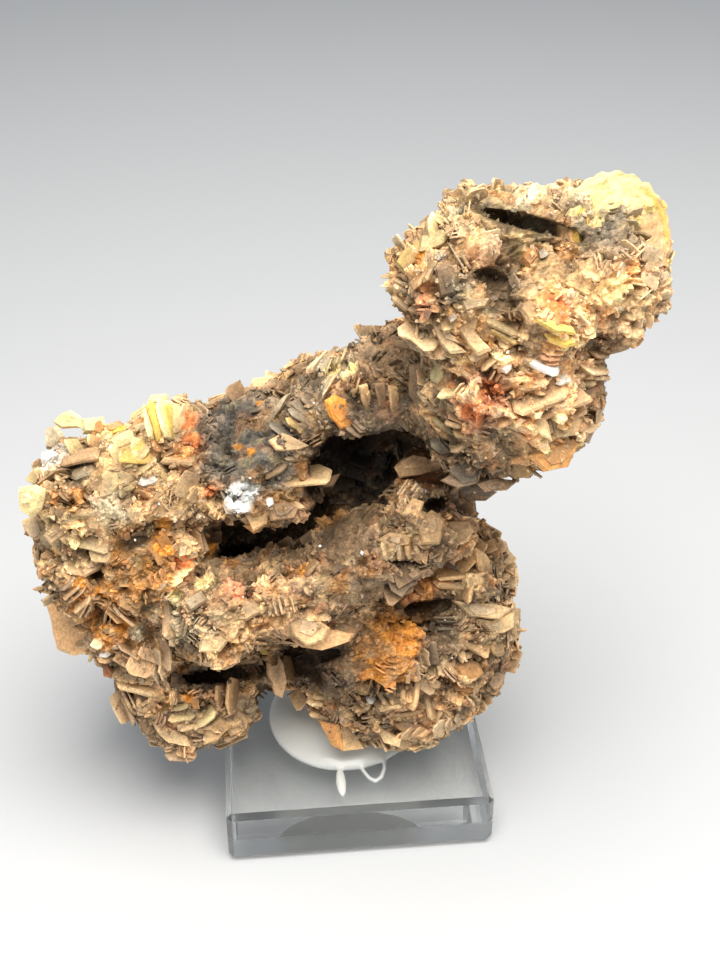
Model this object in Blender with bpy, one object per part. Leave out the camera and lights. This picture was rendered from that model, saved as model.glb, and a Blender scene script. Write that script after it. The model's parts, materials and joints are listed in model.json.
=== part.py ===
"""Barite specimen fixed with a glue pad on a clear acrylic base: three solid pieces.

Metres, +Z up. The origin is the middle of the base's underside. +X runs along the base's
front edge to the right, +Y goes to the back. Tables below are in millimetres and degrees.
"""
import math
import random

import bmesh
import bpy
from mathutils import Matrix, Vector, noise

MM = 0.001

# Base: a polished clear block with small chamfers
BASE_SIDE = 40.0
BASE_HEIGHT = 9.0
BASE_CHAMFER = 0.8

# Glue pad: a flat dome with a run-down drop and a loop of drawn thread in front
PAD_CENTRE = (-1.0, 0.0)
PAD_RADIUS = 12.2
PAD_HEIGHT = 4.2
PAD_EDGE_HEIGHT = 1.1
TOUCH_GAP = 0.3
DROP = (-2.6, -14.8)
DROP_WIDTH = 1.6
DROP_LENGTH = 6.0
DROP_THICK = 1.0
STRAND = 0.7
LOOP = [(0.4, -10.6), (1.0, -12.6), (1.7, -14.2), (2.6, -14.9), (3.6, -14.1), (4.2, -12.4), (4.4, -9.6)]

# Lumps of the grown mass: name, centre, radii, tilt about Y
LOBES = [
    ("head_left", (12.5, -10.0, 89.0), (7.5, 9.5, 7.5), -20),
    ("head_middle", (21.5, -8.0, 87.0), (11.0, 12.5, 7.5), -4),
    ("head_right", (32.0, -8.0, 88.5), (7.5, 11.0, 9.5), 0),
    ("head_fan", (34.5, -5.0, 92.5), (5.5, 7.0, 6.0), 0),
    ("head_crest", (16.5, -6.0, 93.0), (5.5, 7.0, 4.5), 8),
    ("head_lip", (21.5, -6.5, 95.6), (8.5, 7.0, 2.6), 4),
    ("head_crown", (27.5, -4.5, 94.5), (6.5, 7.0, 4.5), -10),
    ("head_back", (23.0, 2.0, 82.0), (12.0, 11.0, 11.0), 0),
    ("column", (20.5, -12.0, 76.0), (11.5, 10.0, 10.5), 0),
    ("column_foot", (18.5, -12.0, 69.0), (9.5, 8.5, 6.0), -8),
    ("column_right", (25.0, -12.0, 72.0), (5.5, 7.5, 7.0), 0),
    ("neck", (4.5, 0.0, 68.0), (10.0, 11.0, 7.0), -30),
    ("neck_low", (12.0, 3.0, 66.0), (8.5, 11.0, 10.0), 0),
    ("arm_bridge", (-5.0, 3.0, 61.5), (9.5, 11.0, 6.5), -26),
    ("plate", (-14.0, 2.0, 58.5), (9.5, 11.0, 7.0), -12),
    ("arm_front", (-12.0, -4.5, 56.5), (8.0, 6.0, 5.0), 10),
    ("arm_left", (-23.0, 2.0, 56.5), (9.0, 11.0, 8.0), 0),
    ("shoulder", (-31.0, 0.0, 55.0), (8.5, 10.0, 7.0), 0),
    ("far_left", (-38.5, 0.0, 53.5), (5.5, 8.5, 8.0), 0),
    ("left_side", (-38.0, 0.0, 44.0), (6.5, 9.0, 9.0), 0),
    ("left_middle", (-29.0, -1.0, 45.0), (9.5, 11.0, 11.0), 0),
    ("left_low", (-31.5, -2.0, 33.0), (7.5, 9.5, 9.0), 0),
    ("block", (-19.5, -9.0, 39.5), (8.5, 8.0, 7.0), 0),
    ("foot_left", (-24.0, -4.0, 21.0), (11.0, 10.0, 8.0), 6),
    ("far_root", (-39.5, 4.0, 35.5), (4.5, 5.0, 5.0), 0),
    ("recess_back", (-19.0, 3.5, 30.5), (8.0, 7.0, 8.0), 0),
    ("foot_link", (-11.5, 2.0, 25.5), (9.0, 9.0, 9.0), 0),
    ("ridge_left", (-8.0, -8.5, 42.0), (8.5, 8.0, 6.0), -12),
    ("ridge_middle", (1.5, -9.0, 47.0), (8.5, 7.5, 6.0), -22),
    ("ridge_right", (11.0, -7.0, 52.0), (6.0, 7.0, 6.0), -10),
    ("back_wall_left", (-12.0, 13.0, 46.0), (17.0, 8.0, 14.0), 0),
    ("back_wall_right", (6.0, 13.0, 51.0), (11.0, 8.0, 15.0), -15),
    ("back_lump", (-27.0, 9.0, 42.0), (10.0, 8.0, 12.0), 0),
    ("lobe_middle", (4.0, -4.0, 30.0), (12.5, 11.0, 12.0), 0),
    ("lobe_right", (15.5, -5.5, 29.0), (8.0, 9.5, 11.5), 0),
    ("lobe_shoulder", (18.0, -4.0, 39.0), (5.0, 7.0, 5.0), 0),
    ("lobe_foot", (6.0, -4.5, 20.0), (13.5, 10.0, 8.0), 0),
]

# Hollows cut into the mass: name, centre, radii, tilt about Y
HOLLOWS = [
    ("main_cavity", (4.0, -3.0, 63.5), (8.5, 11.0, 4.4), -14),
    ("cavity_middle", (1.0, -2.0, 56.5), (5.5, 10.0, 4.2), -35),
    ("cavity_left", (-9.0, -6.0, 48.5), (8.0, 9.0, 3.0), -20),
    ("round_hole", (-4.5, -3.5, 58.0), (2.0, 8.0, 2.2), 0),
    ("head_slot", (21.5, -12.5, 95.4), (7.4, 6.5, 1.4), 4),
    ("head_pit", (17.0, -16.0, 91.5), (2.6, 3.5, 2.2), 0),
    ("ridge_hole", (11.5, -13.0, 55.5), (2.4, 5.0, 2.0), 0),
    ("foot_recess", (-6.5, -9.0, 27.0), (4.2, 7.0, 4.2), 30),
    ("block_recess", (-18.5, -12.0, 28.5), (5.5, 4.5, 1.8), 0),
    ("column_shadow", (13.0, -9.0, 61.0), (5.0, 7.0, 2.6), 0),
]

# Crystals with a place of their own: name, middle, length width thickness, and the turn of the
# blade. A blade starts flat in a plane that leans back by FRONT_LEAN. Its tip points along
# "tip" in that plane (0 right, 90 up). Then "turn" rolls it about its length, from flat side
# to edge, and "nod" brings the tip forward.
FRONT_LEAN = 33.0
CRYSTALS = [
    ("shell_middle", (-4.0, -12.5, 36.5), (8.0, 10.0, 1.3), (-85, 0, 25)),
    ("shell_right", (-0.5, -13.0, 38.5), (7.0, 8.0, 1.2), (-70, 10, 20)),
    ("shell_left", (-8.0, -14.0, 37.5), (7.0, 7.5, 1.2), (-110, -10, 20)),
    ("rim_top", (19.5, -7.5, 41.0), (7.0, 4.5, 1.3), (-70, 60, 0)),
    ("rim_shelf", (15.0, -10.0, 39.5), (7.5, 5.0, 1.1), (178, 65, 0)),
    ("rim_plate", (18.0, -12.0, 36.5), (8.5, 6.0, 1.2), (-25, 35, 10)),
    ("rim_light", (21.0, -11.0, 35.0), (6.5, 6.0, 1.2), (-60, 25, 10)),
    ("rim_edge", (22.0, -9.0, 34.0), (7.0, 5.0, 1.3), (-80, 60, 0)),
    ("rim_cross_a", (17.5, -14.5, 32.5), (7.0, 4.5, 1.1), (-40, 60, 0)),
    ("rim_cross_b", (18.5, -14.0, 32.0), (6.5, 4.5, 1.1), (60, 65, 0)),
    ("rim_orange", (16.5, -14.8, 29.5), (6.5, 5.0, 1.1), (-25, 45, 10)),
    ("rim_low", (15.5, -14.5, 26.0), (7.0, 4.5, 1.2), (8, 60, 0)),
    ("upright_a", (10.5, -14.3, 22.5), (7.0, 4.5, 1.0), (-75, 80, 0)),
    ("upright_b", (12.3, -14.0, 21.5), (6.5, 4.5, 1.0), (-105, 75, 0)),
    ("upright_c", (8.8, -14.2, 25.0), (6.5, 4.0, 1.0), (85, 80, 0)),
    ("rosette_a", (5.0, -14.6, 24.5), (6.5, 5.5, 1.1), (-60, 40, 0)),
    ("rosette_b", (3.5, -13.8, 18.0), (8.0, 5.0, 1.3), (-48, 55, 5)),
    ("rosette_c", (8.0, -14.2, 18.3), (7.5, 5.0, 1.2), (-15, 50, 5)),
    ("foot_orange_a", (-2.0, -11.0, 16.5), (7.0, 6.5, 1.3), (-70, 20, 0)),
    ("foot_orange_b", (1.5, -12.5, 16.5), (7.0, 5.0, 1.2), (-50, 50, 0)),
    ("foot_light", (-4.5, -11.0, 20.0), (6.5, 5.0, 1.2), (150, 50, 0)),
    ("end_big", (15.0, -9.5, 54.0), (6.0, 5.5, 1.2), (-20, 20, 0)),
    ("end_left", (8.0, -9.5, 56.5), (5.0, 3.5, 1.1), (70, 20, 0)),
    ("end_brown", (10.5, -13.0, 53.0), (7.0, 5.5, 1.2), (55, 15, 0)),
    ("end_fan", (14.5, -12.0, 52.0), (6.0, 5.5, 1.2), (15, 20, 0)),
    ("end_upright", (5.5, -14.5, 51.0), (5.0, 4.0, 1.0), (-82, 72, 0)),
    ("orange_tablet", (-1.3, -10.0, 69.5), (6.5, 5.2, 1.8), (-62, 0, 0)),
    ("hanging_a", (1.0, -9.8, 70.5), (6.5, 4.0, 1.3), (-72, 15, 0)),
    ("hanging_b", (3.0, -10.0, 70.0), (6.0, 3.5, 1.2), (-78, 45, 0)),
    ("hanging_c", (5.5, -10.3, 70.5), (5.5, 3.5, 1.2), (-85, 60, 0)),
    ("neck_tablet", (8.0, -10.0, 72.0), (9.5, 5.5, 1.4), (-68, -25, 0)),
    ("neck_top", (9.5, -7.5, 76.0), (6.0, 5.0, 1.3), (-60, 20, 0)),
    ("column_grey", (11.0, -16.0, 69.5), (8.5, 5.5, 1.4), (-50, 0, 0)),
    ("white_upright", (10.8, -17.0, 80.0), (5.0, 3.0, 1.0), (85, 80, 0)),
    ("white_level", (11.8, -18.0, 77.0), (4.5, 3.0, 1.0), (0, 80, 0)),
    ("white_bar", (22.0, -21.0, 82.0), (5.5, 3.0, 1.0), (-27, 75, 0)),
    ("column_plate_a", (24.5, -21.0, 79.0), (9.5, 6.0, 1.4), (20, 35, 0)),
    ("column_plate_b", (21.5, -21.5, 75.5), (9.0, 6.0, 1.4), (-55, 30, 0)),
    ("column_plate_c", (26.0, -20.5, 75.0), (8.0, 6.0, 1.4), (25, 40, 0)),
    ("column_edge", (28.5, -17.5, 76.0), (8.5, 6.0, 1.4), (-65, 35, 0)),
    ("column_orange", (25.5, -15.5, 66.5), (7.0, 6.0, 1.5), (-15, 10, 0)),
    ("column_low", (21.5, -13.5, 63.5), (5.5, 4.5, 1.2), (-20, 10, 0)),
    ("column_low_left", (15.0, -12.0, 63.0), (6.0, 5.0, 1.3), (-150, 10, 0)),
    ("cone", (16.8, -19.4, 86.3), (6.0, 4.5, 1.2), (-30, 70, 0)),
    ("long_a", (23.5, -20.3, 87.5), (6.5, 4.0, 1.0), (-14, 75, 0)),
    ("long_b", (22.5, -20.3, 85.5), (8.0, 5.0, 1.1), (-8, 70, 0)),
    ("head_tablet_a", (10.5, -18.5, 86.0), (7.0, 5.0, 1.3), (-60, 25, 0)),
    ("head_tablet_b", (14.0, -19.0, 86.5), (8.5, 6.0, 1.4), (-52, 25, 0)),
    ("head_tablet_c", (20.5, -19.5, 89.5), (5.5, 4.5, 1.3), (60, 20, 0)),
    ("cream_a", (5.5, -10.5, 93.5), (7.0, 5.0, 1.1), (140, 55, 0)),
    ("cream_b", (8.5, -9.5, 95.0), (7.0, 5.0, 1.1), (150, 60, 0)),
    ("cream_c", (6.0, -12.5, 91.5), (6.5, 4.5, 1.1), (120, 65, 0)),
    ("cream_d", (9.5, -13.5, 94.5), (6.5, 4.5, 1.1), (50, 60, 0)),
    ("head_edge", (7.0, -15.5, 89.0), (8.5, 5.5, 1.3), (-25, 60, 0)),
    ("brown_block", (10.5, -17.5, 92.0), (5.0, 4.5, 2.0), (70, 10, 0)),
    ("cream_block_a", (-38.5, 1.0, 62.0), (6.0, 5.0, 2.4), (20, 20, 0)),
    ("cream_block_b", (-35.0, 1.0, 61.5), (5.5, 4.5, 2.0), (10, 15, 0)),
    ("cream_block_c", (-32.0, 0.5, 62.0), (5.0, 4.0, 1.6), (15, 20, 0)),
    ("bright_a", (-27.8, 2.0, 63.8), (7.0, 5.0, 1.1), (108, 75, 0)),
    ("bright_b", (-26.0, 1.0, 64.0), (7.5, 5.0, 1.1), (97, 70, 0)),
    ("bright_c", (-24.3, 0.0, 64.0), (7.0, 5.0, 1.1), (88, 75, 0)),
    ("cream_rosette_a", (-30.0, -2.0, 62.0), (6.5, 5.0, 1.1), (120, 45, 0)),
    ("cream_rosette_b", (-32.0, -7.5, 59.5), (6.5, 5.0, 1.1), (60, 50, 0)),
    ("left_pale_a", (-42.5, 0.5, 56.0), (5.5, 4.5, 1.4), (95, 10, 0)),
    ("left_pale_b", (-43.8, -1.0, 52.5), (6.0, 5.0, 1.6), (120, 15, 0)),
    ("left_orange", (-36.0, -9.0, 48.0), (6.0, 4.0, 1.6), (25, 50, 0)),
    ("far_tablet", (-41.8, 4.5, 28.5), (11.5, 7.0, 2.0), (-80, 10, 0)),
    ("foot_edge", (-33.0, -8.5, 24.5), (7.0, 4.5, 1.3), (0, 60, 0)),
    ("foot_curved", (-23.5, -14.3, 22.5), (7.0, 4.5, 1.0), (20, 70, 0)),
    ("foot_tip_a", (-30.0, -12.0, 18.5), (6.5, 5.5, 1.3), (-105, 25, 0)),
    ("foot_tip_b", (-26.0, -12.5, 16.5), (6.5, 5.0, 1.3), (-80, 20, 0)),
    ("hanging_blade", (-11.3, -9.5, 25.5), (8.0, 4.0, 1.4), (-80, 55, 0)),
    ("block_plate", (-18.0, -16.5, 38.5), (9.0, 7.0, 1.4), (-20, 10, 15)),
    ("block_shelf_a", (-22.0, -15.0, 35.5), (8.0, 8.0, 1.3), (-100, 0, 45)),
    ("block_shelf_b", (-16.0, -14.5, 35.0), (8.0, 8.0, 1.3), (-80, 0, 45)),
    ("shelf_blade", (-6.5, -9.0, 59.5), (10.0, 6.0, 1.2), (8, 65, 0)),
    ("layer", (-8.0, -7.5, 64.0), (8.0, 5.5, 1.3), (-5, 60, 0)),
    ("cluster_a", (-12.5, -10.0, 56.0), (8.0, 6.0, 1.3), (5, 55, 0)),
    ("cluster_b", (-12.5, -9.5, 53.0), (7.0, 5.0, 1.2), (-10, 50, 0)),
    ("cluster_c", (-9.0, -9.5, 55.5), (6.5, 5.0, 1.2), (15, 40, 0)),
    ("bone_ridge", (-10.5, -3.0, 66.0), (7.0, 3.5, 1.6), (45, 50, 0)),
]

# The ribbed fan at the head's right end: rounded plates, middle, radius, thickness, face heading
FAN_PLATES = [
    ("fan_back", (33.2, -7.0, 93.0), 8.2, 2.4, (20, 30)),
    ("fan_front", (32.6, -9.3, 91.6), 6.8, 2.2, (20, 30)),
    ("fan_low", (33.8, -12.3, 88.0), 5.8, 2.0, (30, 25)),
]

# Smaller crystals strewn over the rest of the mass
STREWN_COUNT = 76
STREWN_SPACING = 5.8
STREWN_LENGTH = (5.0, 7.5)
STREWN_SEED = 7
# Bare stretches, where no crystals stand: name, middle, radius
BARE = [
    ("plate", (-16.0, -3.0, 62.0), 8.0),
    ("matte_top", (4.0, 1.0, 74.0), 6.5),
    ("ridge_top", (0.0, -10.0, 50.0), 7.0),
    ("dark_face", (5.0, -14.0, 33.0), 8.0),
    ("cavity", (1.0, 0.0, 58.0), 11.0),
    ("cavity_left", (-9.0, -3.0, 49.0), 8.0),
    ("head_slot", (21.5, -11.0, 97.0), 7.5),
    ("head_top", (22.0, -3.0, 98.0), 8.0),
    ("fan", (33.0, -8.0, 94.0), 10.0),
    ("pad", (-1.0, 0.0, 10.0), 14.0),
]

# Grain of the mass: voxel size, then bumps added in three sizes (wavelength, height)
CORE_VOXEL = 1.7
CORE_SMOOTH_STEPS = 6
BUMPS = [(11.0, 1.5), (5.0, 0.9), (2.6, 0.45)]
CORE_TRIANGLES = 2400
SEAT_TRIANGLES = 2000


def remove_startup_objects():
    for obj in list(bpy.data.objects):
        bpy.data.objects.remove(obj, do_unlink=True)


def principled(name, colour, roughness, transmission=0.0, ior=1.5, alpha=1.0):
    material = bpy.data.materials.new(name)
    material.use_nodes = True
    shader = material.node_tree.nodes["Principled BSDF"]
    shader.inputs["Base Color"].default_value = (*colour, 1.0)
    shader.inputs["Roughness"].default_value = roughness
    shader.inputs["Metallic"].default_value = 0.0
    shader.inputs["Transmission Weight"].default_value = transmission
    shader.inputs["IOR"].default_value = ior
    shader.inputs["Alpha"].default_value = alpha
    return material


def add_object(name, mesh, material=None):
    obj = bpy.data.objects.new(name, mesh)
    bpy.context.scene.collection.objects.link(obj)
    if material is not None:
        mesh.materials.clear()
        mesh.materials.append(material)
    return obj


def mesh_from(name, bm):
    mesh = bpy.data.meshes.new(name)
    bm.to_mesh(mesh)
    bm.free()
    return mesh


def evaluated_mesh(obj):
    """The object's mesh with its modifiers worked in, as a mesh of its own."""
    graph = bpy.context.evaluated_depsgraph_get()
    graph.update()
    return bpy.data.meshes.new_from_object(obj.evaluated_get(graph), depsgraph=graph)


def bake(obj):
    """Replace the object's mesh by its evaluated one and drop the modifiers."""
    mesh = evaluated_mesh(obj)
    obj.modifiers.clear()
    obj.data = mesh
    return obj


def discard(obj):
    bpy.data.objects.remove(obj, do_unlink=True)


def placed_ellipsoid(bm, centre, radii, tilt, subdivisions):
    scale = Matrix.Diagonal((*(r * MM for r in radii), 1.0))
    turn = Matrix.Rotation(math.radians(tilt), 4, "Y")
    place = Matrix.Translation(Vector(centre) * MM)
    bmesh.ops.create_icosphere(bm, subdivisions=subdivisions, radius=1.0, matrix=place @ turn @ scale)


def ellipsoids(name, rows, subdivisions=3):
    bm = bmesh.new()
    for _, centre, radii, tilt in rows:
        placed_ellipsoid(bm, centre, radii, tilt, subdivisions)
    return add_object(name, mesh_from(name, bm))


def remesh(obj, voxel):
    modifier = obj.modifiers.new("Remesh", "REMESH")
    modifier.mode = "VOXEL"
    modifier.voxel_size = voxel * MM
    return bake(obj)


def boolean(obj, other, operation, self_union=False):
    modifier = obj.modifiers.new("Boolean", "BOOLEAN")
    modifier.solver = "EXACT"
    modifier.operation = operation
    modifier.use_self = self_union
    modifier.object = other
    bake(obj)
    discard(other)
    return obj


def smooth(obj, steps):
    modifier = obj.modifiers.new("Smooth", "SMOOTH")
    modifier.factor = 0.5
    modifier.iterations = steps
    return bake(obj)


def add_bumps(obj, bumps):
    """Push each point along its normal by a sum of noises, the way crusts swell."""
    mesh = obj.data
    normals = [v.normal.copy() for v in mesh.vertices]
    for vertex, normal in zip(mesh.vertices, normals):
        place = vertex.co / MM
        height = 0.0
        for wavelength, amplitude in bumps:
            height += amplitude * noise.noise(place / wavelength)
        vertex.co = vertex.co + normal * (height * MM)
    mesh.update()


def thin_out(obj, triangles):
    count = sum(len(p.vertices) - 2 for p in obj.data.polygons)
    modifier = obj.modifiers.new("Decimate", "DECIMATE")
    modifier.ratio = min(1.0, triangles / count)
    modifier.use_collapse_triangulate = True
    return bake(obj)


def grown_mass():
    """The lumps run together, hollowed and roughened, as one closed faceted core."""
    core = ellipsoids("barite", LOBES)
    remesh(core, CORE_VOXEL)
    smooth(core, CORE_SMOOTH_STEPS)
    hollows = ellipsoids("hollows", HOLLOWS)
    remesh(hollows, 0.8)
    boolean(core, hollows, "DIFFERENCE")
    remesh(core, CORE_VOXEL * 0.7)
    add_bumps(core, BUMPS)
    thin_out(core, CORE_TRIANGLES)
    return core


def blade_outline(length, width, square_tip):
    """A blade's outline from root to tip: barite's rhombic tip or a cut-off chisel tip."""
    root = -0.5 * length
    half = 0.5 * width
    if square_tip:
        cut = 0.45 * half
        return [(root, -0.8 * half), (0.5 * length, -half), (0.5 * length, half - cut),
                (0.5 * length - cut, half), (root, 0.8 * half)]
    tip = min(half / math.tan(math.radians(50.8)), 0.5 * length)
    return [(root, -0.8 * half), (0.5 * length - tip, -half), (0.5 * length, 0.0),
            (0.5 * length - tip, half), (root, 0.8 * half)]


def round_outline(radius, corners=14):
    return [(radius * math.cos(2 * math.pi * k / corners), radius * math.sin(2 * math.pi * k / corners))
            for k in range(corners)]


def add_plate(bm, outline, thickness, matrix):
    """A flat crystal: its outline below, and a slightly smaller face above, so its sides slope."""
    bevel = 0.45 * thickness
    reach = max(math.hypot(x, y) for x, y in outline)
    inner = 1.0 - bevel / reach
    low, high = ([bm.verts.new(matrix @ Vector((x * scale, y * scale, height))) for x, y in outline]
                 for height, scale in ((-0.5 * thickness, 1.0), (0.5 * thickness, inner)))
    count = len(outline)
    for k in range(count):
        after = (k + 1) % count
        bm.faces.new((low[k], low[after], high[after], high[k]))
    bm.faces.new(list(reversed(low)))
    bm.faces.new(high)


def front_matrix(middle, tip, turn, nod):
    """Place and turn of a listed crystal, as explained above the table."""
    lean = Matrix.Rotation(math.radians(90.0 - FRONT_LEAN), 4, "X")
    in_plane = Matrix.Rotation(math.radians(tip), 4, "Z")
    forward = Matrix.Rotation(math.radians(-nod), 4, "Y")
    roll = Matrix.Rotation(math.radians(turn), 4, "X")
    return Matrix.Translation(Vector(middle)) @ lean @ in_plane @ forward @ roll


def heading_matrix(middle, azimuth, elevation):
    """Local Z points azimuth degrees right of the front and elevation degrees up."""
    a = math.radians(azimuth)
    e = math.radians(elevation)
    facing = Vector((math.sin(a) * math.cos(e), -math.cos(a) * math.cos(e), math.sin(e)))
    return Matrix.Translation(Vector(middle)) @ facing.to_track_quat("Z", "Y").to_matrix().to_4x4()


def is_bare(place):
    if place.z < 12.0:
        return True
    return any((place - Vector(middle)).length < radius for _, middle, radius in BARE)


def strewn_matrices(core):
    """Seeded places on the core, kept apart, each with a blade that leans out of the surface."""
    pick = random.Random(STREWN_SEED)
    mesh = core.data
    mesh.calc_loop_triangles()
    triangles = list(mesh.loop_triangles)
    areas = [t.area for t in triangles]
    taken = [Vector(row[1]) for row in CRYSTALS]
    found = []
    for _ in range(6000):
        if len(found) == STREWN_COUNT:
            break
        triangle = pick.choices(triangles, weights=areas)[0]
        a, b, c = (mesh.vertices[i].co for i in triangle.vertices)
        place = (a + b + c) / 3.0 / MM
        if is_bare(place) or any((place - other).length < STREWN_SPACING for other in taken):
            continue
        taken.append(place)
        normal = triangle.normal
        side = normal.orthogonal()
        side.rotate(Matrix.Rotation(pick.uniform(0.0, 2.0 * math.pi), 3, normal))
        lean = math.radians(pick.uniform(35.0, 70.0))
        along = normal * math.cos(lean) + side * math.sin(lean)
        across = normal.cross(side)
        face = along.cross(across)
        turn = Matrix((along, across, face)).transposed().to_4x4()
        length = pick.uniform(*STREWN_LENGTH)
        found.append((Matrix.Translation(place + along * (0.05 * length)) @ turn, length, pick.random()))
    return found


def crystals(core):
    """All blades as one mesh of overlapping closed plates."""
    bm = bmesh.new()
    to_metres = Matrix.Scale(MM, 4)
    for number, (_, middle, (length, width, thickness), (tip, turn, nod)) in enumerate(CRYSTALS):
        outline = blade_outline(length, width, square_tip=number % 3 == 0)
        add_plate(bm, outline, thickness, to_metres @ front_matrix(middle, tip, turn, nod))
    for _, middle, radius, thickness, (azimuth, elevation) in FAN_PLATES:
        add_plate(bm, round_outline(radius), thickness, to_metres @ heading_matrix(middle, azimuth, elevation))
    for matrix, length, chance in strewn_matrices(core):
        outline = blade_outline(length, length * (0.55 + 0.25 * chance), square_tip=chance < 0.4)
        add_plate(bm, outline, 1.1 + 0.4 * chance, to_metres @ matrix)
    return add_object("crystals", mesh_from("crystals", bm))


def pad_profile():
    """The pad's height from its middle to its rim, as radius and height above the base."""
    rows = [(PAD_RADIUS, 0.0), (PAD_RADIUS, 0.5 * PAD_EDGE_HEIGHT)]
    for step in range(1, 6):
        share = 1.0 - step / 5.0
        height = PAD_EDGE_HEIGHT + (PAD_HEIGHT - PAD_EDGE_HEIGHT) * (1.0 - share ** 2)
        rows.append((0.96 * PAD_RADIUS * share, height))
    return rows


def turned_solid(name, profile, centre, base_height, sides=32):
    """Spin a profile that starts at the rim's foot and ends on the axis."""
    bm = bmesh.new()
    rings = []
    for radius, height in profile:
        z = base_height + height
        if radius == 0.0:
            rings.append([bm.verts.new(Vector((centre[0], centre[1], z)) * MM)])
            continue
        angles = [2.0 * math.pi * k / sides for k in range(sides)]
        rings.append([bm.verts.new(Vector((centre[0] + radius * math.cos(a),
                                           centre[1] + radius * math.sin(a), z)) * MM) for a in angles])
    for low, high in zip(rings, rings[1:]):
        for k in range(sides):
            after = (k + 1) % sides
            if len(high) == 1:
                bm.faces.new((low[k], low[after], high[0]))
            else:
                bm.faces.new((low[k], low[after], high[after], high[k]))
    bm.faces.new(list(reversed(rings[0])))
    return add_object(name, mesh_from(name, bm))


def smooth_route(points, steps):
    """Points read from one smooth curve (Catmull-Rom) through the given ones."""
    path = [points[0], *points, points[-1]]
    found = []
    for k in range(1, len(path) - 2):
        a, b, c, d = (Vector(p) for p in path[k - 1:k + 3])
        for step in range(steps):
            t = step / steps
            found.append(0.5 * (2.0 * b + (c - a) * t + (2.0 * a - 5.0 * b + 4.0 * c - d) * t ** 2
                                + (3.0 * b - a - 3.0 * c + d) * t ** 3))
    found.append(Vector(points[-1]))
    return found


def round_strand(name, points, diameter):
    """A drawn strand of glue: a curve with a round bevel and filled caps, as a mesh."""
    curve = bpy.data.curves.new(name, "CURVE")
    curve.dimensions = "3D"
    curve.bevel_depth = 0.5 * diameter * MM
    curve.bevel_resolution = 1
    curve.use_fill_caps = True
    spline = curve.splines.new("POLY")
    spline.points.add(len(points) - 1)
    for point, place in zip(spline.points, points):
        point.co = (*(Vector(place) * MM), 1.0)
    guide = add_object(name + "_guide", curve)
    strand = add_object(name, evaluated_mesh(guide))
    discard(guide)
    return strand


def glue_pad(core):
    """The set glue: a low dome that the stone is bedded in, with a drop and a loop run down in front."""
    foot = BASE_HEIGHT + TOUCH_GAP
    pad = turned_solid("glue_pad", pad_profile(), PAD_CENTRE, foot)
    drop = ellipsoids("drop", [("drop", (DROP[0], DROP[1], foot + 0.5 * DROP_THICK),
                                (0.5 * DROP_WIDTH, 0.5 * DROP_LENGTH, 0.5 * DROP_THICK), 0)], 2)
    boolean(pad, drop, "UNION")
    route = [(x, y, foot + 0.5 * STRAND) for x, y in LOOP]
    boolean(pad, round_strand("loop", smooth_route(route, 3), STRAND), "UNION")
    seat = add_object("seat", core.data.copy())
    shell = seat.modifiers.new("Swell", "DISPLACE")
    shell.mid_level = 0.0
    shell.strength = (TOUCH_GAP + 0.25) * MM
    bake(seat)
    remesh(seat, 1.2)
    thin_out(seat, SEAT_TRIANGLES)
    boolean(pad, seat, "DIFFERENCE")
    return pad


def acrylic_base():
    bm = bmesh.new()
    place = Matrix.Translation((0.0, 0.0, 0.5 * BASE_HEIGHT * MM))
    size = Matrix.Diagonal((BASE_SIDE * MM, BASE_SIDE * MM, BASE_HEIGHT * MM, 1.0))
    bmesh.ops.create_cube(bm, size=1.0, matrix=place @ size)
    bmesh.ops.bevel(bm, geom=bm.edges[:], offset=BASE_CHAMFER * MM, segments=1, affect="EDGES")
    return add_object("acrylic_base", mesh_from("acrylic_base", bm))


def paint(obj, material):
    obj.data.materials.clear()
    obj.data.materials.append(material)


def build():
    remove_startup_objects()
    base = acrylic_base()
    stone = grown_mass()
    pad = glue_pad(stone)
    boolean(stone, crystals(stone), "UNION", self_union=True)
    paint(stone, principled("brown_barite", (0.42, 0.26, 0.13), 0.75))
    paint(pad, principled("milky_glue", (0.62, 0.65, 0.60), 0.35, transmission=0.3))
    paint(base, principled("clear_acrylic", (0.95, 0.97, 0.97), 0.03, transmission=1.0, ior=1.49))


build()
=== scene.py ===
"""The looks of a barite specimen on a clear base: crust, crystals, colours, glue, light and camera.

Lengths in the tables are millimetres, angles are degrees and colours are sRGB from 0 to 255.
Places on the stone are given as the point (right, down) of the 720 x 960 photograph that they show at.
The script finds them on the stone's own surface. Each line of a text table is a row; a line with one
word alone names the rows below it.
"""
import json
import math
import random
from functools import lru_cache
from itertools import product

import bmesh
import bpy
import numpy as np
from mathutils import Matrix, Vector, noise
from mathutils.bvhtree import BVHTree
from mathutils.kdtree import KDTree

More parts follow.
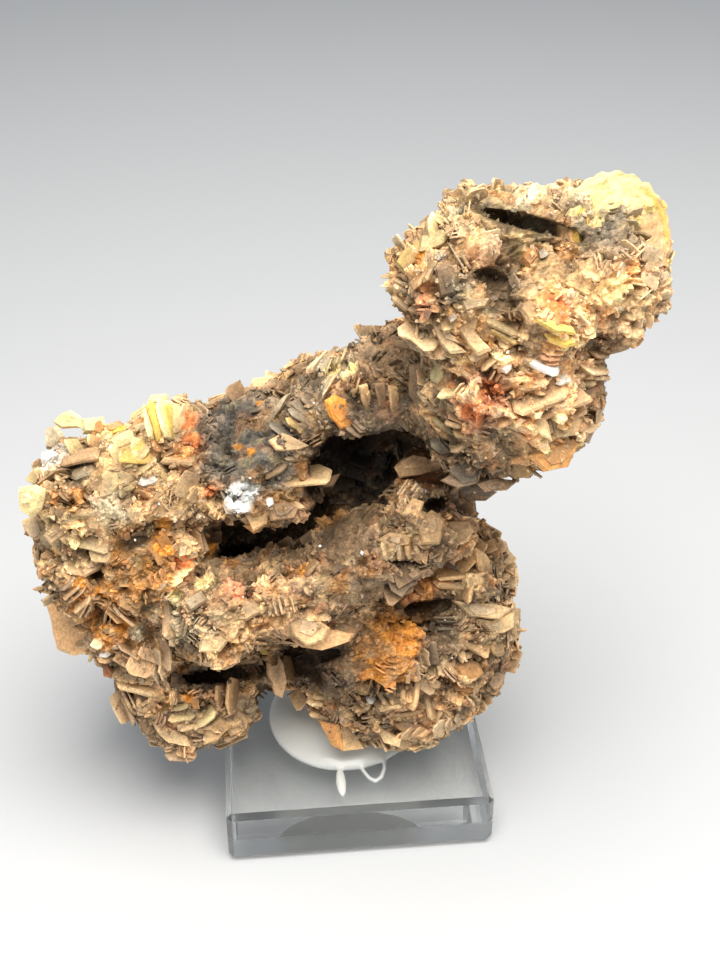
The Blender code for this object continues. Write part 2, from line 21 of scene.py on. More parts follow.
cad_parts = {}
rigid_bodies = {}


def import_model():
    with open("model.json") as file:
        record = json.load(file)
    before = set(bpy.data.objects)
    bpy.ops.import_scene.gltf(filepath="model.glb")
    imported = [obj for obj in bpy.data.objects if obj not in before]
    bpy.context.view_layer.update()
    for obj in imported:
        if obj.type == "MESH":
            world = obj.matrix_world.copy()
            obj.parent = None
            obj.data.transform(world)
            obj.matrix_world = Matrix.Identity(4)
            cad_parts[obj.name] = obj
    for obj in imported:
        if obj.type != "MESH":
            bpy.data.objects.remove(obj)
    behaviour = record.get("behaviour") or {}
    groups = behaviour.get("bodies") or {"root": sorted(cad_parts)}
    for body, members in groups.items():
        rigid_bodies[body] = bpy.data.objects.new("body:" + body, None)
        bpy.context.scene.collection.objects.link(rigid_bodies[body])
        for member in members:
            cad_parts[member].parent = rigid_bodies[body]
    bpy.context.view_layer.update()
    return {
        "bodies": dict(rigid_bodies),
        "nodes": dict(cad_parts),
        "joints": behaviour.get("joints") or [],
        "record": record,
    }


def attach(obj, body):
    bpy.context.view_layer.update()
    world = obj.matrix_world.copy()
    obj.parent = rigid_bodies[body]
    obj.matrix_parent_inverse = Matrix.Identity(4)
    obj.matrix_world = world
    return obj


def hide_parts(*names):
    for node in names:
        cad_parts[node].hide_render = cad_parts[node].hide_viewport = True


MM = 0.001


def cell(word):
    """A number, a tuple of numbers where commas join them, or the word itself."""
    try:
        numbers = tuple(float(value) for value in word.split(","))
    except ValueError:
        return word
    return numbers if len(numbers) > 1 else numbers[0]


def table(text):
    """The rows of a text table, each with its name first."""
    rows, name = [], []
    for line in text.strip().splitlines():
        cells = [cell(word) for word in line.split()]
        if len(cells) == 1:
            name = cells
        else:
            rows.append(name + cells)
    return rows


# Camera, in the part's own frame
CAMERA_PLACE = (-12.8, -169.2, 165.7)
CAMERA_DOWN = 33.32
CAMERA_TO_RIGHT = 4.93
CAMERA_ROLL = -0.33
LENS = 53.5
SENSOR = 36.0
PHOTO_SIZE = (720, 960)
STONE_MIDDLE = (360, 480)
ANCHOR_TRIES = 16
ANCHOR_STEP = 0.02
EYE = Vector(CAMERA_PLACE)

# Room: lights as name, place, aim, width, power and colour, in metres and watts
LIGHTS = table("""
key 0.035,-0.13,0.49 0,-0.005,0.06 0.45 4.5 1,0.965,0.91
fill -0.35,-0.35,0.25 0,0,0.05 0.4 0.5 0.95,0.98,1
""")
ROOM_COLOUR = (0.86, 0.92, 1.0, 1.0)
ROOM_STRENGTH = 0.37
FLOOR_SIZE = 4.0
FLOOR_LEVEL = -0.3

# Base and glue, as in the solids
BASE_HEIGHT = 9.0
PAD_CENTRE = (-1.0, 0.0)
PAD_RADIUS = 12.2
PAD_HEIGHT = 4.2
PAD_EDGE_HEIGHT = 1.1
DOME_RINGS = 12
DOME_SIDES = 96
GLUE_FOOT = BASE_HEIGHT - 0.05
DROP = (-2.6, -14.8)
DROP_RADII = (0.8, 3.0, 0.5)
BEAD_RADIUS = 0.36
BEADS = 8
LOOP = [(0.4, -10.6), (1.0, -12.6), (1.7, -14.2), (2.6, -14.9), (3.6, -14.1), (4.2, -12.4), (4.4, -9.6)]

# Lumps of the grown mass, as in the solids: name, centre, radii, tilt about Y
LOBES = table("""
head_left 12.5,-10,89 7.5,9.5,7.5 -20
head_middle 21.5,-8,87 11,12.5,7.5 -4
head_right 32,-8,88.5 7.5,11,9.5 0
head_fan 34.5,-5,92.5 5.5,7,6 0
head_crest 16.5,-6,93 5.5,7,4.5 8
head_lip 21.5,-6.5,95.6 8.5,7,2.6 4
head_crown 27.5,-4.5,94.5 6.5,7,4.5 -10
head_back 23,2,82 12,11,11 0
column 20.5,-12,76 11.5,10,10.5 0
column_foot 18.5,-12,69 9.5,8.5,6 -8
column_right 25,-12,72 5.5,7.5,7 0
neck 4.5,0,68 10,11,7 -30
neck_low 12,3,66 8.5,11,10 0
arm_bridge -5,3,61.5 9.5,11,6.5 -26
plate -14,2,58.5 9.5,11,7 -12
arm_front -12,-4.5,56.5 8,6,5 10
arm_left -23,2,56.5 9,11,8 0
shoulder -31,0,55 8.5,10,7 0
far_left -38.5,0,53.5 5.5,8.5,8 0
left_side -38,0,44 6.5,9,9 0
left_middle -29,-1,45 9.5,11,11 0
left_low -31.5,-2,33 7.5,9.5,9 0
block -19.5,-9,39.5 8.5,8,7 0
foot_left -24,-4,21 11,10,8 6
far_root -39.5,4,35.5 4.5,5,5 0
recess_back -19,3.5,30.5 8,7,8 0
foot_link -11.5,2,25.5 9,9,9 0
ridge_left -8,-8.5,42 8.5,8,6 -12
ridge_middle 1.5,-9,47 8.5,7.5,6 -22
ridge_right 11,-7,52 6,7,6 -10
back_wall_left -12,13,46 17,8,14 0
back_wall_right 6,13,51 11,8,15 -15
back_lump -27,9,42 10,8,12 0
lobe_middle 4,-4,30 12.5,11,12 0
lobe_right 15.5,-5.5,29 8,9.5,11.5 0
lobe_shoulder 18,-4,39 5,7,5 0
lobe_foot 6,-4.5,20 13.5,10,8 0
""")

# Hollows cut into the mass, as in the solids
HOLLOWS = table("""
main_cavity 4,-3,63.5 9.5,12,5.4 -14
cavity_middle 1,-2,57.4 6.2,10,4.4 -35
cavity_left -9,-6.5,50.6 9.2,9.5,2.3 -20
round_hole -4.5,-3.5,58 2,8,2.2 0
head_pit 17,-16,91.5 1.9,2.6,1.4 0
foot_recess -8,-8,26.5 3.4,6.5,3.8 30
column_shadow 13,-9,61 5,7,2.6 0
""")

# Narrow clefts that the photograph shows: name, place in it, half sizes (across, deep, high),
# turn to the left, how far the middle lies behind the face
CLEFTS = table("""
head_slot 528,223 6.4,5,1 -10 2.2
slot_end 566,233 3,3,0.8 -18 1
head_hole_a 486,275 1.7,3,0.9 10 1
head_hole_b 508,305 1.6,2.5,0.6 0 0.8
head_hole_c 502,244 1.3,2,0.5 0 0.6
neck_gap 440,447 2.6,3.5,1.1 -10 1
lip_gap 432,479 2.8,3,0.6 0 1
round_hole 318,466 1.5,4,1.6 0 1.5
gap_middle 306,515 5.2,6.5,2.3 38 3
gap_low 222,556 3.4,4.5,0.9 15 2
ridge_hole 436,506 1.7,4,1.2 20 1.5
left_slot_a 135,541 1.9,3,0.6 4 0.8
left_slot_b 76,518 1.2,2,0.4 0 0.5
left_slot_c 97,575 1.1,2.5,1 20 0.8
left_slot_d 75,482 1.2,2,0.4 10 0.5
arm_slot 234,553 3,6,1 12 2
arm_crack 205,541 2.6,2,0.35 0 0.5
block_recess 213,676 6,5,1.4 0 1.8
foot_dark 263,697 1.9,5,2.2 0 1.5
ledge_recess 326,655 4.4,3,0.9 12 1
ridge_under 426,608 4.2,3.5,1.2 12 1.2
crust_crack_a 388,505 1.2,1.5,0.3 0 0.3
crust_crack_b 140,609 1.8,1.5,0.4 10 0.4
crust_crack_c 148,634 0.7,1.5,0.8 0 0.4
""")
# Spots where the crust is kept behind the fan: name, centre, radii, tilt about Y
TRIMS = table("""
fan_right 39.2,-11,93 4.8,5,7 0
fan_top 36,-9,100 4.6,3.8,2.8 0
""")

# Colours of the minerals; cavity is the painted shade of the main cavity
TONES = table("""
white 238,236,228
pale 236,220,160
cream 228,202,144
yellow 226,190,98
light_tan 226,190,140
tan 212,172,122
rose_tan 222,178,132
peach 222,174,122
bright_yellow 250,215,40
olive 170,142,92
bone 200,182,148
honey 206,148,88
amber 228,148,62
ochre 190,126,52
dark_ochre 158,112,58
rust 186,112,66
pink 228,160,120
brown 158,125,92
mid_brown 142,115,86
dark_brown 104,84,64
umber 74,62,50
soot 62,56,50
plate_grey 88,86,80
warm_grey 142,128,108
cavity 74,70,68
""")

# Colour zones: name, place in the photograph, radius, tone of the crust, tone of the blades,
# share of the crust that blades cover, size of the blades
# The dark zones in the main cavity and the cavity at the left, under the column, in the block's recess, in
# the gap at the left and under the lobe's ledge are painted shade
ZONES = table("""
head_crest 480,207 5 olive light_tan 0.15 0.8
head_lip 545,205 5 bone light_tan 0.1 0.7
slot_floor 530,236 2.5 olive cream 0 0.5
head_black_a 500,263 2.8 brown warm_grey 0.02 0.6
head_black_b 612,228 2.8 warm_grey warm_grey 0.03 0.6
head_black_c 568,249 2.6 brown tan 0.08 0.6
head_black_d 515,293 2.6 dark_brown warm_grey 0.03 0.6
head_left_top 425,238 5 tan light_tan 0.6 0.9
head_left_low 400,282 4 rose_tan cream 0.6 0.9
pink_dust 423,298 2 pink light_tan 0.1 0.6
head_brown 446,285 2.6 warm_grey bone 0.1 0.8
head_grain 570,290 5.5 tan light_tan 0.25 0.7
head_orange 555,308 1.6 rust rust 0.2 0.6
yellow_lump 617,300 2.4 cream cream 0.05 0.6
head_right_low 640,320 5.5 rose_tan light_tan 0.12 0.8
fan 655,225 5 yellow cream 0 0.8
head_low 500,332 5.5 tan light_tan 0.7 1.1
column_pink 480,405 3.8 pink light_tan 0.3 0.8
column_right 562,400 6 rose_tan light_tan 0.75 1.1
column_low 530,445 5 tan light_tan 0.8 1.1
column_left 430,395 3.6 mid_brown tan 0.6 0.9
column_under 480,474 2.6 dark_brown brown 0.4 0.8
matte_top 385,353 4.2 mid_brown brown 0 0.7
neck_cream 338,366 3.2 bone bone 0.2 0.7
neck_front 380,405 3.8 dark_brown brown 0.35 0.8
neck_left 292,405 4.5 mid_brown warm_grey 0.4 0.9
plate 235,440 6.2 plate_grey plate_grey 0 0.5
plate_low 232,482 2.6 warm_grey warm_grey 0 0.5
orange_band 190,448 2.6 rust honey 0.1 0.7
uprights 158,424 3.4 tan cream 0.6 0.9
cream_block 85,422 4.2 tan cream 0.4 0.9
shoulder 120,448 3.6 tan cream 0.5 0.8
left_white 47,461 2 white white 0.1 0.7
left_pale 30,495 4 tan light_tan 0.4 0.9
grey_lump 118,512 2.6 bone bone 0 0.6
left_low 70,540 4.6 light_tan cream 0.25 0.8
ochre_left 135,565 4.6 dark_ochre ochre 0.08 0.7
ochre_low 105,612 4.6 ochre light_tan 0.2 0.8
ochre_spot 112,592 2 ochre honey 0.1 0.6
dark_gap 150,540 2.6 dark_brown mid_brown 0.1 0.7
cluster 270,515 2.4 dark_ochre mid_brown 0.4 0.9
arm_middle 182,510 4.6 tan tan 0.15 0.7
block 215,598 5.6 brown tan 0.06 0.7
block_low 222,648 3.4 tan tan 0.04 0.8
block_right 290,590 4 brown tan 0.12 0.7
recess 205,682 4 dark_brown dark_brown 0.2 0.7
foot_left 150,712 6 mid_brown tan 0.8 1
foot_right 215,712 5 mid_brown tan 0.8 1
ridge_top 350,540 5.6 mid_brown brown 0 0.6
ridge_left 300,582 4.4 brown tan 0.03 0.6
ridge_front 350,596 3.6 mid_brown brown 0.03 0.6
ridge_slope 330,548 4 mid_brown brown 0 0.6
neck_cap 378,352 4 mid_brown brown 0 0.6
block_side 190,625 3.6 bone light_tan 0.04 0.6
plate_top 232,415 3.6 plate_grey mid_brown 0 0.6
ridge_soot 376,583 2 dark_brown dark_brown 0 0.6
ridge_right 420,545 4 mid_brown brown 0.4 0.8
ridge_end 452,525 3.8 mid_brown tan 0.5 0.9
ridge_under 415,590 2.4 rust honey 0.2 0.7
cavity_ochre 335,522 1.8 dark_ochre dark_ochre 0 0.5
cavity_deep 370,462 5.5 cavity umber 0.05 0.8
red_lump 420,471 2.2 rust peach 0 0.5
cavity_left 252,540 3.2 umber umber 0.05 0.6
ochre_patch 402,636 3.4 ochre ochre 0.02 0.6
ochre_tail 370,668 3.4 ochre ochre 0.02 0.6
lobe_dark 330,676 5.2 dark_brown dark_brown 0.03 0.7
lobe_grey 438,642 3 dark_brown warm_grey 0.25 0.8
lobe_right 490,620 6 mid_brown light_tan 0.85 1.1
lobe_low 400,727 6.4 mid_brown tan 0.85 1.1
lobe_corner 455,690 5 brown tan 0.85 1.1
""")
# Crystal faces that the photograph shows, under their names: thickness, where the face looks (degrees
# to the right of the front, degrees up), tone, then the corners in the photograph
# Under the column, the thick umber sheet set back into the gap is a painted shadow, and the sheets there are
# darkened by painted shade
SHEETS = table("""
orange_tablet
1.4 5,15 amber 325,402 335,396 346,401 358,422 353,430 341,431 330,418
hanging
0.7 30,10 tan 360,386 368,384 374,410 368,416
0.7 25,10 brown 376,384 385,383 388,408 381,416
0.7 30,5 tan 390,386 398,387 400,410 393,416
neck_tablet
0.9 -25,25 brown 408,366 424,362 430,380 427,404 418,414 408,396
column_grey
1 -25,20 bone 425,420 432,416 445,440 462,458 446,463 430,448
column_tan
0.8 5,30 light_tan 532,406 548,396 566,392 562,403 544,411
0.8 25,30 rose_tan 564,400 584,388 599,386 597,397 578,405
under_column
0.8 -10,40 mid_brown 440,480 452,473 474,474 480,482 458,488
0.8 15,35 brown 478,484 496,478 520,480 508,490 486,492
under_column_d
2.5 0,35 umber 458,476 486,470 500,482 490,496 464,494
under_column
0.8 0,30 mid_brown 456,494 476,488 498,492 486,501 464,502
column_tan
1 -20,25 light_tan 521,405 532,400 548,424 552,442 540,436
1 10,15 light_tan 548,420 575,410 584,422 580,436 556,440
column_hex
1.3 20,20 honey 530,457 548,450 575,436 582,442 570,468 546,473
column_small
0.8 -10,10 light_tan 493,446 502,441 504,456 495,460
under
0.9 0,5 olive 510,464 522,460 536,474 528,480 514,478
0.9 -10,10 warm_grey 448,472 462,462 480,466 478,482 462,486
head_tab
1 -20,30 light_tan 430,320 442,316 452,340 466,352 450,354 440,344
1 -10,30 light_tan 456,328 470,308 480,312 472,330 492,350 478,356
0.9 10,40 tan 518,306 530,298 540,304 543,318 528,320
0.8 0,45 light_tan 460,300 492,297 486,306 465,311
brown_block
1.5 -15,20 brown 434,266 448,262 458,276 456,296 440,300
orange_crystal
1.2 5,40 amber 520,258 527,249 538,246 540,256 530,268
long
0.8 0,50 yellow 534,318 552,320 574,327 576,333 556,331
0.8 0,50 yellow 544,332 560,333 578,343 566,347 550,341
cream_cap
1.2 -35,45 yellow 393,262 403,248 418,238 425,246 418,262 402,272
bone_ridge
1.2 -30,30 bone 262,424 270,412 282,396 290,392 284,402 268,430
cream_ledge
0.8 0,45 tan 268,440 282,432 300,440 312,446 298,450 276,450
red_lip
1.2 -5,35 tan 394,467 404,457 424,456 444,462 440,470 420,476 400,478
ledge_left
0.8 -10,40 tan 288,624 298,617 316,618 330,628 322,641 306,646 294,636
ledge_right
0.8 10,35 tan 320,624 336,616 352,618 364,626 356,638 340,645 328,640
shelf_face
0.8 0,40 brown 292,478 320,480 341,473 333,486 290,491
wedge
0.7 0,40 light_tan 281,497 300,502 307,508 300,510 286,504
cluster
0.8 -20,30 tan 243,513 255,506 268,508 266,524 252,532
0.8 15,35 brown 266,505 285,500 300,508 296,518 272,521
0.8 0,15 honey 243,527 262,520 275,522 254,535
end
0.9 -10,30 tan 402,514 412,498 424,502 418,520
1 0,30 tan 416,520 432,510 446,520 440,545 422,545
end_hex
1 10,30 honey 450,497 462,495 475,505 478,514 468,520 452,512
end_fan
0.8 10,25 tan 447,522 470,520 476,532 460,542 448,538
0.8 10,15 light_tan 449,538 474,532 470,542 452,549
arch
0.9 0,40 tan 376,540 390,532 414,534 410,545 392,548
grey_crystal
1.2 10,30 warm_grey 447,566 456,560 461,568 453,574
pink_sliver
0.8 0,45 peach 330,570 336,563 350,560 346,568 334,575
shell
1 0,30 peach 286,632 300,629 330,630 355,634 350,642 322,651 302,648 292,641
0.9 5,35 peach 322,621 345,617 365,616 365,630 352,635 332,631
rim_upright
1 40,20 tan 478,548 486,552 493,562 492,582 486,590 481,570
rim_tablet
1 5,45 light_tan 452,600 470,603 492,603 514,608 500,619 470,617
rim_light
1 10,25 light_tan 473,618 492,621 516,612 515,628 504,634 489,635
rim_orange
1 10,30 honey 456,668 470,660 480,664 485,674 476,682 462,677
low_big
1 -30,30 light_tan 368,714 376,718 384,730 400,740 398,748 384,744
low_flat
1 0,40 peach 392,724 404,720 420,724 432,732 424,738 406,736
foot_facet
1 -30,15 honey 318,722 338,726 342,752 332,748
1 10,10 tan 341,724 352,728 366,750 342,753
cream_block_a
1.6 -20,30 cream 50,422 58,414 68,410 78,416 80,428 60,429
cream_block
1.6 0,35 pale 80,418 103,416 104,424 96,434 82,434
1.4 10,30 peach 104,424 120,420 125,428 118,434 106,431
left_grey
1.2 -35,30 bone 44,428 55,424 62,436 58,448 44,449
left_white
0.8 -30,20 white 40,453 50,450 57,455 50,466 42,471
pale
1.4 -30,20 cream 22,481 28,472 35,467 41,478 38,487
1.6 -35,15 cream 15,489 32,486 42,491 38,510 28,520 17,512
beige
1.4 -30,10 light_tan 19,522 40,516 50,526 44,541 34,543 22,534
1 -10,25 light_tan 42,536 52,524 66,524 64,536 50,546
rosette_face
1 -10,45 pale 108,440 122,433 142,438 138,448 120,452
rosette_low
1 -15,35 cream 97,488 103,476 115,472 120,484 112,496 98,500
orange_lump
1.5 -5,30 peach 83,520 98,516 103,524 100,532 86,531
orange_blade
1 -5,45 rose_tan 79,572 90,562 106,555 109,560 98,570 84,577
orange_drop
1 -20,15 rust 101,666 107,662 113,674 112,680 102,678
foot
1 -15,20 light_tan 150,722 170,728 186,738 190,748 168,744 158,735
1 -20,15 tan 140,712 150,708 152,730 147,737 138,725
1 10,25 tan 203,730 222,716 232,728 218,742 204,746
1 20,20 tan 238,708 250,720 248,730 232,738 226,728
hanging_blade
1.2 20,20 rose_tan 268,654 276,650 284,662 288,684 284,699 276,696 268,676
block_plate
1 -5,40 light_tan 198,652 200,640 222,634 229,640 220,652
block_wedge
1 -10,45 bone 182,600 200,590 207,600 190,612
1 0,45 light_tan 236,622 244,597 260,602 262,612 246,621
yellow_tablet
0.8 0,35 yellow 256,646 266,640 279,642 272,656 262,655
""")

# Blades seen on their edges, by place: ends of the edge in the photograph, depth of the blade behind it,
# thickness, turn away from the viewer (90 shows the edge alone), tone
# The short white edges in the groups rosette, foot and lobe stand at glittering specks: painted glints
EDGES = table("""
column
516,418 572,396 3 0.7 40 light_tan
520,430 590,402 3 0.7 35 rose_tan
526,441 588,412 3 0.6 40 light_tan
538,450 580,424 2.6 0.6 30 tan
500,430 524,416 2.4 0.5 45 peach
446,418 470,428 2.4 0.5 30 rose_tan
452,436 484,446 2.6 0.5 35 light_tan
cone
484,321 520,338 3.5 0.7 62 cream
488,328 518,345 3.5 0.6 66 yellow
497,335 513,347 3 0.6 66 tan
dark
522,343 545,351 3.5 0.8 60 brown
curve
392,298 408,312 3.5 0.8 60 light_tan
406,311 436,315 3.5 0.8 60 light_tan
cream
427,212 431,246 3.5 1 50 cream
420,252 452,240 3 1 55 pale
head
393,281 411,288 3 0.6 70 cream
392,286 410,294 3 0.6 70 light_tan
400,274 412,284 3 0.6 70 light_tan
424,284 438,262 3 0.7 65 light_tan
416,290 430,268 3 0.6 65 tan
437,261 447,255 1.5 0.8 50 white
541,259 549,254 1.5 0.7 50 white
451,322 458,317 1.5 0.8 50 white
grain
580,272 600,282 3 0.7 62 light_tan
566,284 590,296 3 0.7 62 cream
600,296 612,306 3 0.8 60 cream
white
441,384 446,356 2.5 0.9 60 pale
438,397 466,396 2.5 0.8 60 pale
509,374 513,355 2.2 0.9 55 white
528,363 559,376 2.5 0.9 60 white
557,386 572,381 2 0.9 55 white
column
520,391 550,384 3.5 0.8 60 light_tan
552,415 580,404 3.5 0.7 60 cream
547,402 550,434 3 0.6 70 cream
574,384 598,386 3 0.8 60 light_tan
458,370 482,388 3 0.7 65 tan
432,420 458,438 3 0.8 60 cream
452,454 478,440 3 0.7 65 light_tan
480,385 474,398 3 0.6 65 cream
508,428 528,444 3 0.7 62 light_tan
444,424 466,428 3 0.7 62 light_tan
grey
290,402 312,424 3 0.6 60 warm_grey
286,412 318,430 3 0.6 60 warm_grey
284,420 302,434 3 0.6 60 olive
298,398 318,412 3 0.6 60 warm_grey
ledge
284,460 308,461 3 0.8 65 light_tan
small
266,480 290,466 3 0.8 62 tan
shelf
264,489 332,482 5 0.7 62 light_tan
dab
266,498 268,507 1.2 0.7 50 white
upright
380,542 384,561 2.5 0.8 60 light_tan
388,542 390,562 2.5 0.8 60 tan
396,542 398,562 2.5 0.8 60 light_tan
404,541 407,560 2.5 0.8 60 tan
412,540 416,556 2.5 0.8 60 light_tan
sliver
305,579 320,563 2 0.6 60 light_tan
302,588 309,597 2 0.7 60 light_tan
shell
356,613 373,609 2.5 1 50 light_tan
349,628 354,612 2.5 0.8 60 light_tan
rim
432,586 470,591 4 1 58 tan
436,580 490,575 3.5 0.6 66 tan
470,604 474,578 3 0.6 66 tan
456,640 488,658 3.5 0.9 58 tan
470,652 502,632 3.5 0.9 58 light_tan
484,634 497,660 3.5 0.8 60 tan
450,690 480,689 4 1.1 55 honey
448,681 476,677 3 0.8 60 peach
498,640 488,672 3.5 1 50 tan
leg
424,688 431,723 3.5 0.8 65 light_tan
445,700 438,724 3.5 0.8 65 light_tan
419,676 415,712 3.5 0.7 68 tan
u
376,690 386,709 3 0.7 65 light_tan
385,710 403,707 3 0.7 65 light_tan
403,706 402,688 3 0.7 65 tan
lobe
390,717 425,713 3 0.7 66 tan
364,698 372,706 1.5 1 45 white
light
306,706 327,706 3 0.8 60 light_tan
308,716 334,721 3 0.8 60 light_tan
312,699 332,700 3 0.7 60 tan
340,705 352,722 3 0.7 60 tan
left
63,440 77,463 2.5 0.6 55 cream
86,434 90,450 2.5 0.5 60 peach
96,434 104,428 2.5 0.5 55 honey
bright
146,403 158,446 3 0.6 50 yellow
154,400 166,441 3 0.6 55 pale
143,406 149,442 3 0.5 55 pale
163,403 171,442 3 0.5 60 yellow
171,402 175,450 3 0.6 60 cream
179,402 180,448 3 0.5 60 light_tan
146,403 168,402 2 0.5 55 cream
148,412 162,446 3 0.4 30 cream
158,406 172,436 3 0.4 35 cream
142,420 160,432 2.4 0.4 45 yellow
rosette
110,452 136,440 2.4 0.4 40 cream
118,462 150,464 2.4 0.4 50 yellow
128,440 134,462 2.4 0.4 40 pale
100,478 128,488 2.4 0.5 40 cream
112,474 120,494 2.4 0.4 50 light_tan
122,458 146,447 3 0.5 55 yellow
126,470 150,453 3 0.5 55 cream
107,446 117,468 3 0.6 55 pale
103,499 136,488 3 0.9 55 pale
113,476 121,499 2.5 0.8 60 cream
98,494 110,476 2.5 0.8 60 light_tan
140,474 158,462 2.5 0.5 60 cream
138,487 158,482 2 0.8 50 white
arm
160,462 196,466 2.5 0.8 60 light_tan
60,466 100,458 3 0.8 60 rose_tan
70,482 94,474 3 0.8 60 bone
bowl
62,572 90,577 3 1 55 light_tan
left
40,556 52,562 3 1 55 light_tan
foot
87,645 95,655 1.8 1 45 white
98,657 110,657 1.8 1 45 white
113,686 162,699 4 1.1 55 light_tan
168,722 196,719 3 0.7 62 cream
178,732 201,729 3 0.9 58 light_tan
199,730 217,714 3 0.9 58 cream
203,690 219,715 3 0.7 60 tan
215,686 216,706 3 0.7 60 tan
172,713 192,706 2.5 0.8 58 cream
hanging
278,654 287,684 2.5 0.9 58 peach
block
166,646 193,664 5 1.2 50 rose_tan
190,664 232,667 5 1.2 52 peach
228,667 264,660 5 1.1 52 peach
258,661 282,654 4 1 55 rose_tan
163,581 165,640 3 1.4 50 rose_tan
""")
# How far faces and edges stand out from the crust, and the faces that differ
SHEET_STAND = 0.5
EDGE_STAND = 0.7
# The sheet set 2 mm back under the column is a painted shadow
RAISED = {"orange_tablet": 1.6, "red_lip": 0.8, "ledge_left": 0.7, "ledge_right": 0.8,
          "under_column_d": -2.0, "cream_block_a": 1.0}

# Crystals whose root the photograph hides: name, middle, (length, width, thickness), (tip, turn, nod), tone
PLACED = table("""
far_tablet -41.8,4.5,28.5 11.5,7,2 -80,10,0 peach
""")

# Small marks, by place: point in the photograph, radius, tone
SPOTS = table("""
dab
240,491 1.3 white
232,499 1.2 white
249,492 1.1 white
243,501 1.2 white
227,497 0.7 white
crease
238,496 0.34 soot
242,494 0.3 soot
233,501 0.32 soot
248,497 0.3 soot
229,496 0.26 soot
yellow
89,427 1 bright_yellow
orange
78,497 1.2 honey
54,499 1.2 honey
36,492 0.9 honey
72,505 1 honey
186,425 1.4 rust
191,440 1.3 rust
184,455 1.3 honey
210,493 0.9 rust
ochre
164,525 1.2 ochre
160,545 1.6 ochre
208,548 1.4 ochre
82,582 1.1 ochre
101,592 1 ochre
126,625 1.4 ochre
180,560 1.4 rust
231,562 1.4 honey
236,444 0.7 ochre
262,406 0.8 ochre
250,450 0.6 ochre
305,569 0.9 ochre
190,697 1 ochre
425,595 1.2 honey
325,527 1.5 ochre
340,512 1.4 dark_ochre
lip
402,467 1 honey
head
422,254 0.7 ochre
552,308 1.3 rust
488,343 1 ochre
535,196 1.5 bone
524,204 1 bone
460,212 1 bone
neck
332,368 1.6 cream
350,372 1.4 cream
322,356 1.2 bone
block
172,614 1 bone
175,598 1 cream
205,582 1.3 cream
168,640 0.9 white
238,588 1.8 pink
180,578 1.4 rose_tan
262,580 1.6 rose_tan
lump
136,634 1.1 bone
column
490,392 1.6 rust
475,412 1.6 rust
""")
# Glittering specks in the photograph
GLINTS = sum(table("""
320,546 434,539 445,620 452,658 443,665 353,742 123,681 66,488 159,504 436,352 314,403 508,352 660,280
664,274 303,632 318,628 243,597 128,581 362,553 425,491 502,638 507,631 135,540 204,517 250,478
"""), [])

# The rounded rim at the head's right end: middle, where it faces, then its profile from the front
# to the back as distance from the middle and distance forward
FAN_CENTRE = (33.2, -8.0, 92.9)
FAN_HEADING = (20, 30)
FAN_SIDES = 150
FAN_PROFILE = sum(table("""
3.6,3.3 4.5,3.3 4.7,2.8 5.3,2.9 5.5,2.3 6,2.4 6.2,1.8 6.7,1.9 6.9,1.3
7.4,1.35 7.6,0.8 7.9,0.8 8.1,0.3 8.3,0.1 8.3,-0.6 8.1,-1.3 7.4,-1.9 5,-2.4
"""), [])
# Where the fan is kept clean: forward from its middle, out from its axis, degrees round from its top
FAN_CLEAR = ((-3.0, 7.0), (5.0, 11.0), (-25.0, 120.0))

# The rest of the stone, which the photograph doesn't show, mixes these by slow noise
REST_TONES = [("mid_brown", "tan"), ("brown", "light_tan"), ("dark_ochre", "tan"), ("umber", "brown")]
REST_COVER = 0.55
# Stains all over the crust: tone, size, noise level where they start, strength
MOTTLES = [("cream", 2.2, 0.22, 0.35), ("rust", 3.0, 0.25, 0.4), ("dark_brown", 2.6, 0.15, 0.5),
           ("ochre", 3.4, 0.25, 0.4), ("warm_grey", 3.8, 0.2, 0.4), ("bone", 1.1, 0.25, 0.4)]
REST_WEIGHT = 0.06
# The crust counts as bare where blades cover less of it than this; how much darker (painted shade), barer
# and calmer it is in its hollows
BARE_BELOW = 0.05
HOLLOW_SHADE = 0.68
HOLLOW_BARENESS = 0.95
HOLLOW_CALM = 0.75

# Grain: voxel sizes, then bumps of the crust in sizes (wavelength, height)
COARSE_VOXEL = 1.0
HOLLOW_VOXEL = 0.4
GLUE_VOXEL = 0.26
FINE_VOXEL = 0.51
BUMPS = [(11.0, 1.3), (5.0, 0.9), (2.2, 0.45), (1.1, 0.3)]
# Broken faces: size of the pieces, slope of their faces, height of the steps between them
FACETS = [(4.2, 0.25, 0.7), (1.9, 0.35, 0.6), (0.9, 0.35, 0.4)]
# Level ledges: length, thickness, height
LEDGES = [(4.5, 1.1, 0.7), (2.4, 0.6, 0.4)]

# Blades over the whole stone
CLUSTER_SPACING = 2.2
CLUSTER_TRIES = 14000
CROWD_CELL = 4.0
UPPER_FROM = 52.0
UNDERSIDE_BELOW = 13.0
LISTED_CLEARANCE = 0.9
CLEFT_CLEARANCE = 1.8
BLADE_LENGTH = (1.6, 5.6)
MICRO_COUNT = 9400
MICRO_LENGTH = (0.9, 3.0)
LYING_SHARE = 0.25
CRUMB_COUNT = 17000
GRIT_COUNT = 7500
CRUMB_SIZE = (0.15, 0.55)
SEED = 11
# Blender takes the seed of its vector noise from the clock unless it is given one
NOISE_SEED = 1795640070


def linear(tone):
    """An sRGB colour from 0 to 255 as the linear one that shaders take."""
    value = np.asarray(tone, float) / 255.0
    return np.where(value <= 0.04045, value / 12.92, ((value + 0.055) / 1.055) ** 2.4)


TONE = {name: linear(value) for name, value in TONES}


# The camera

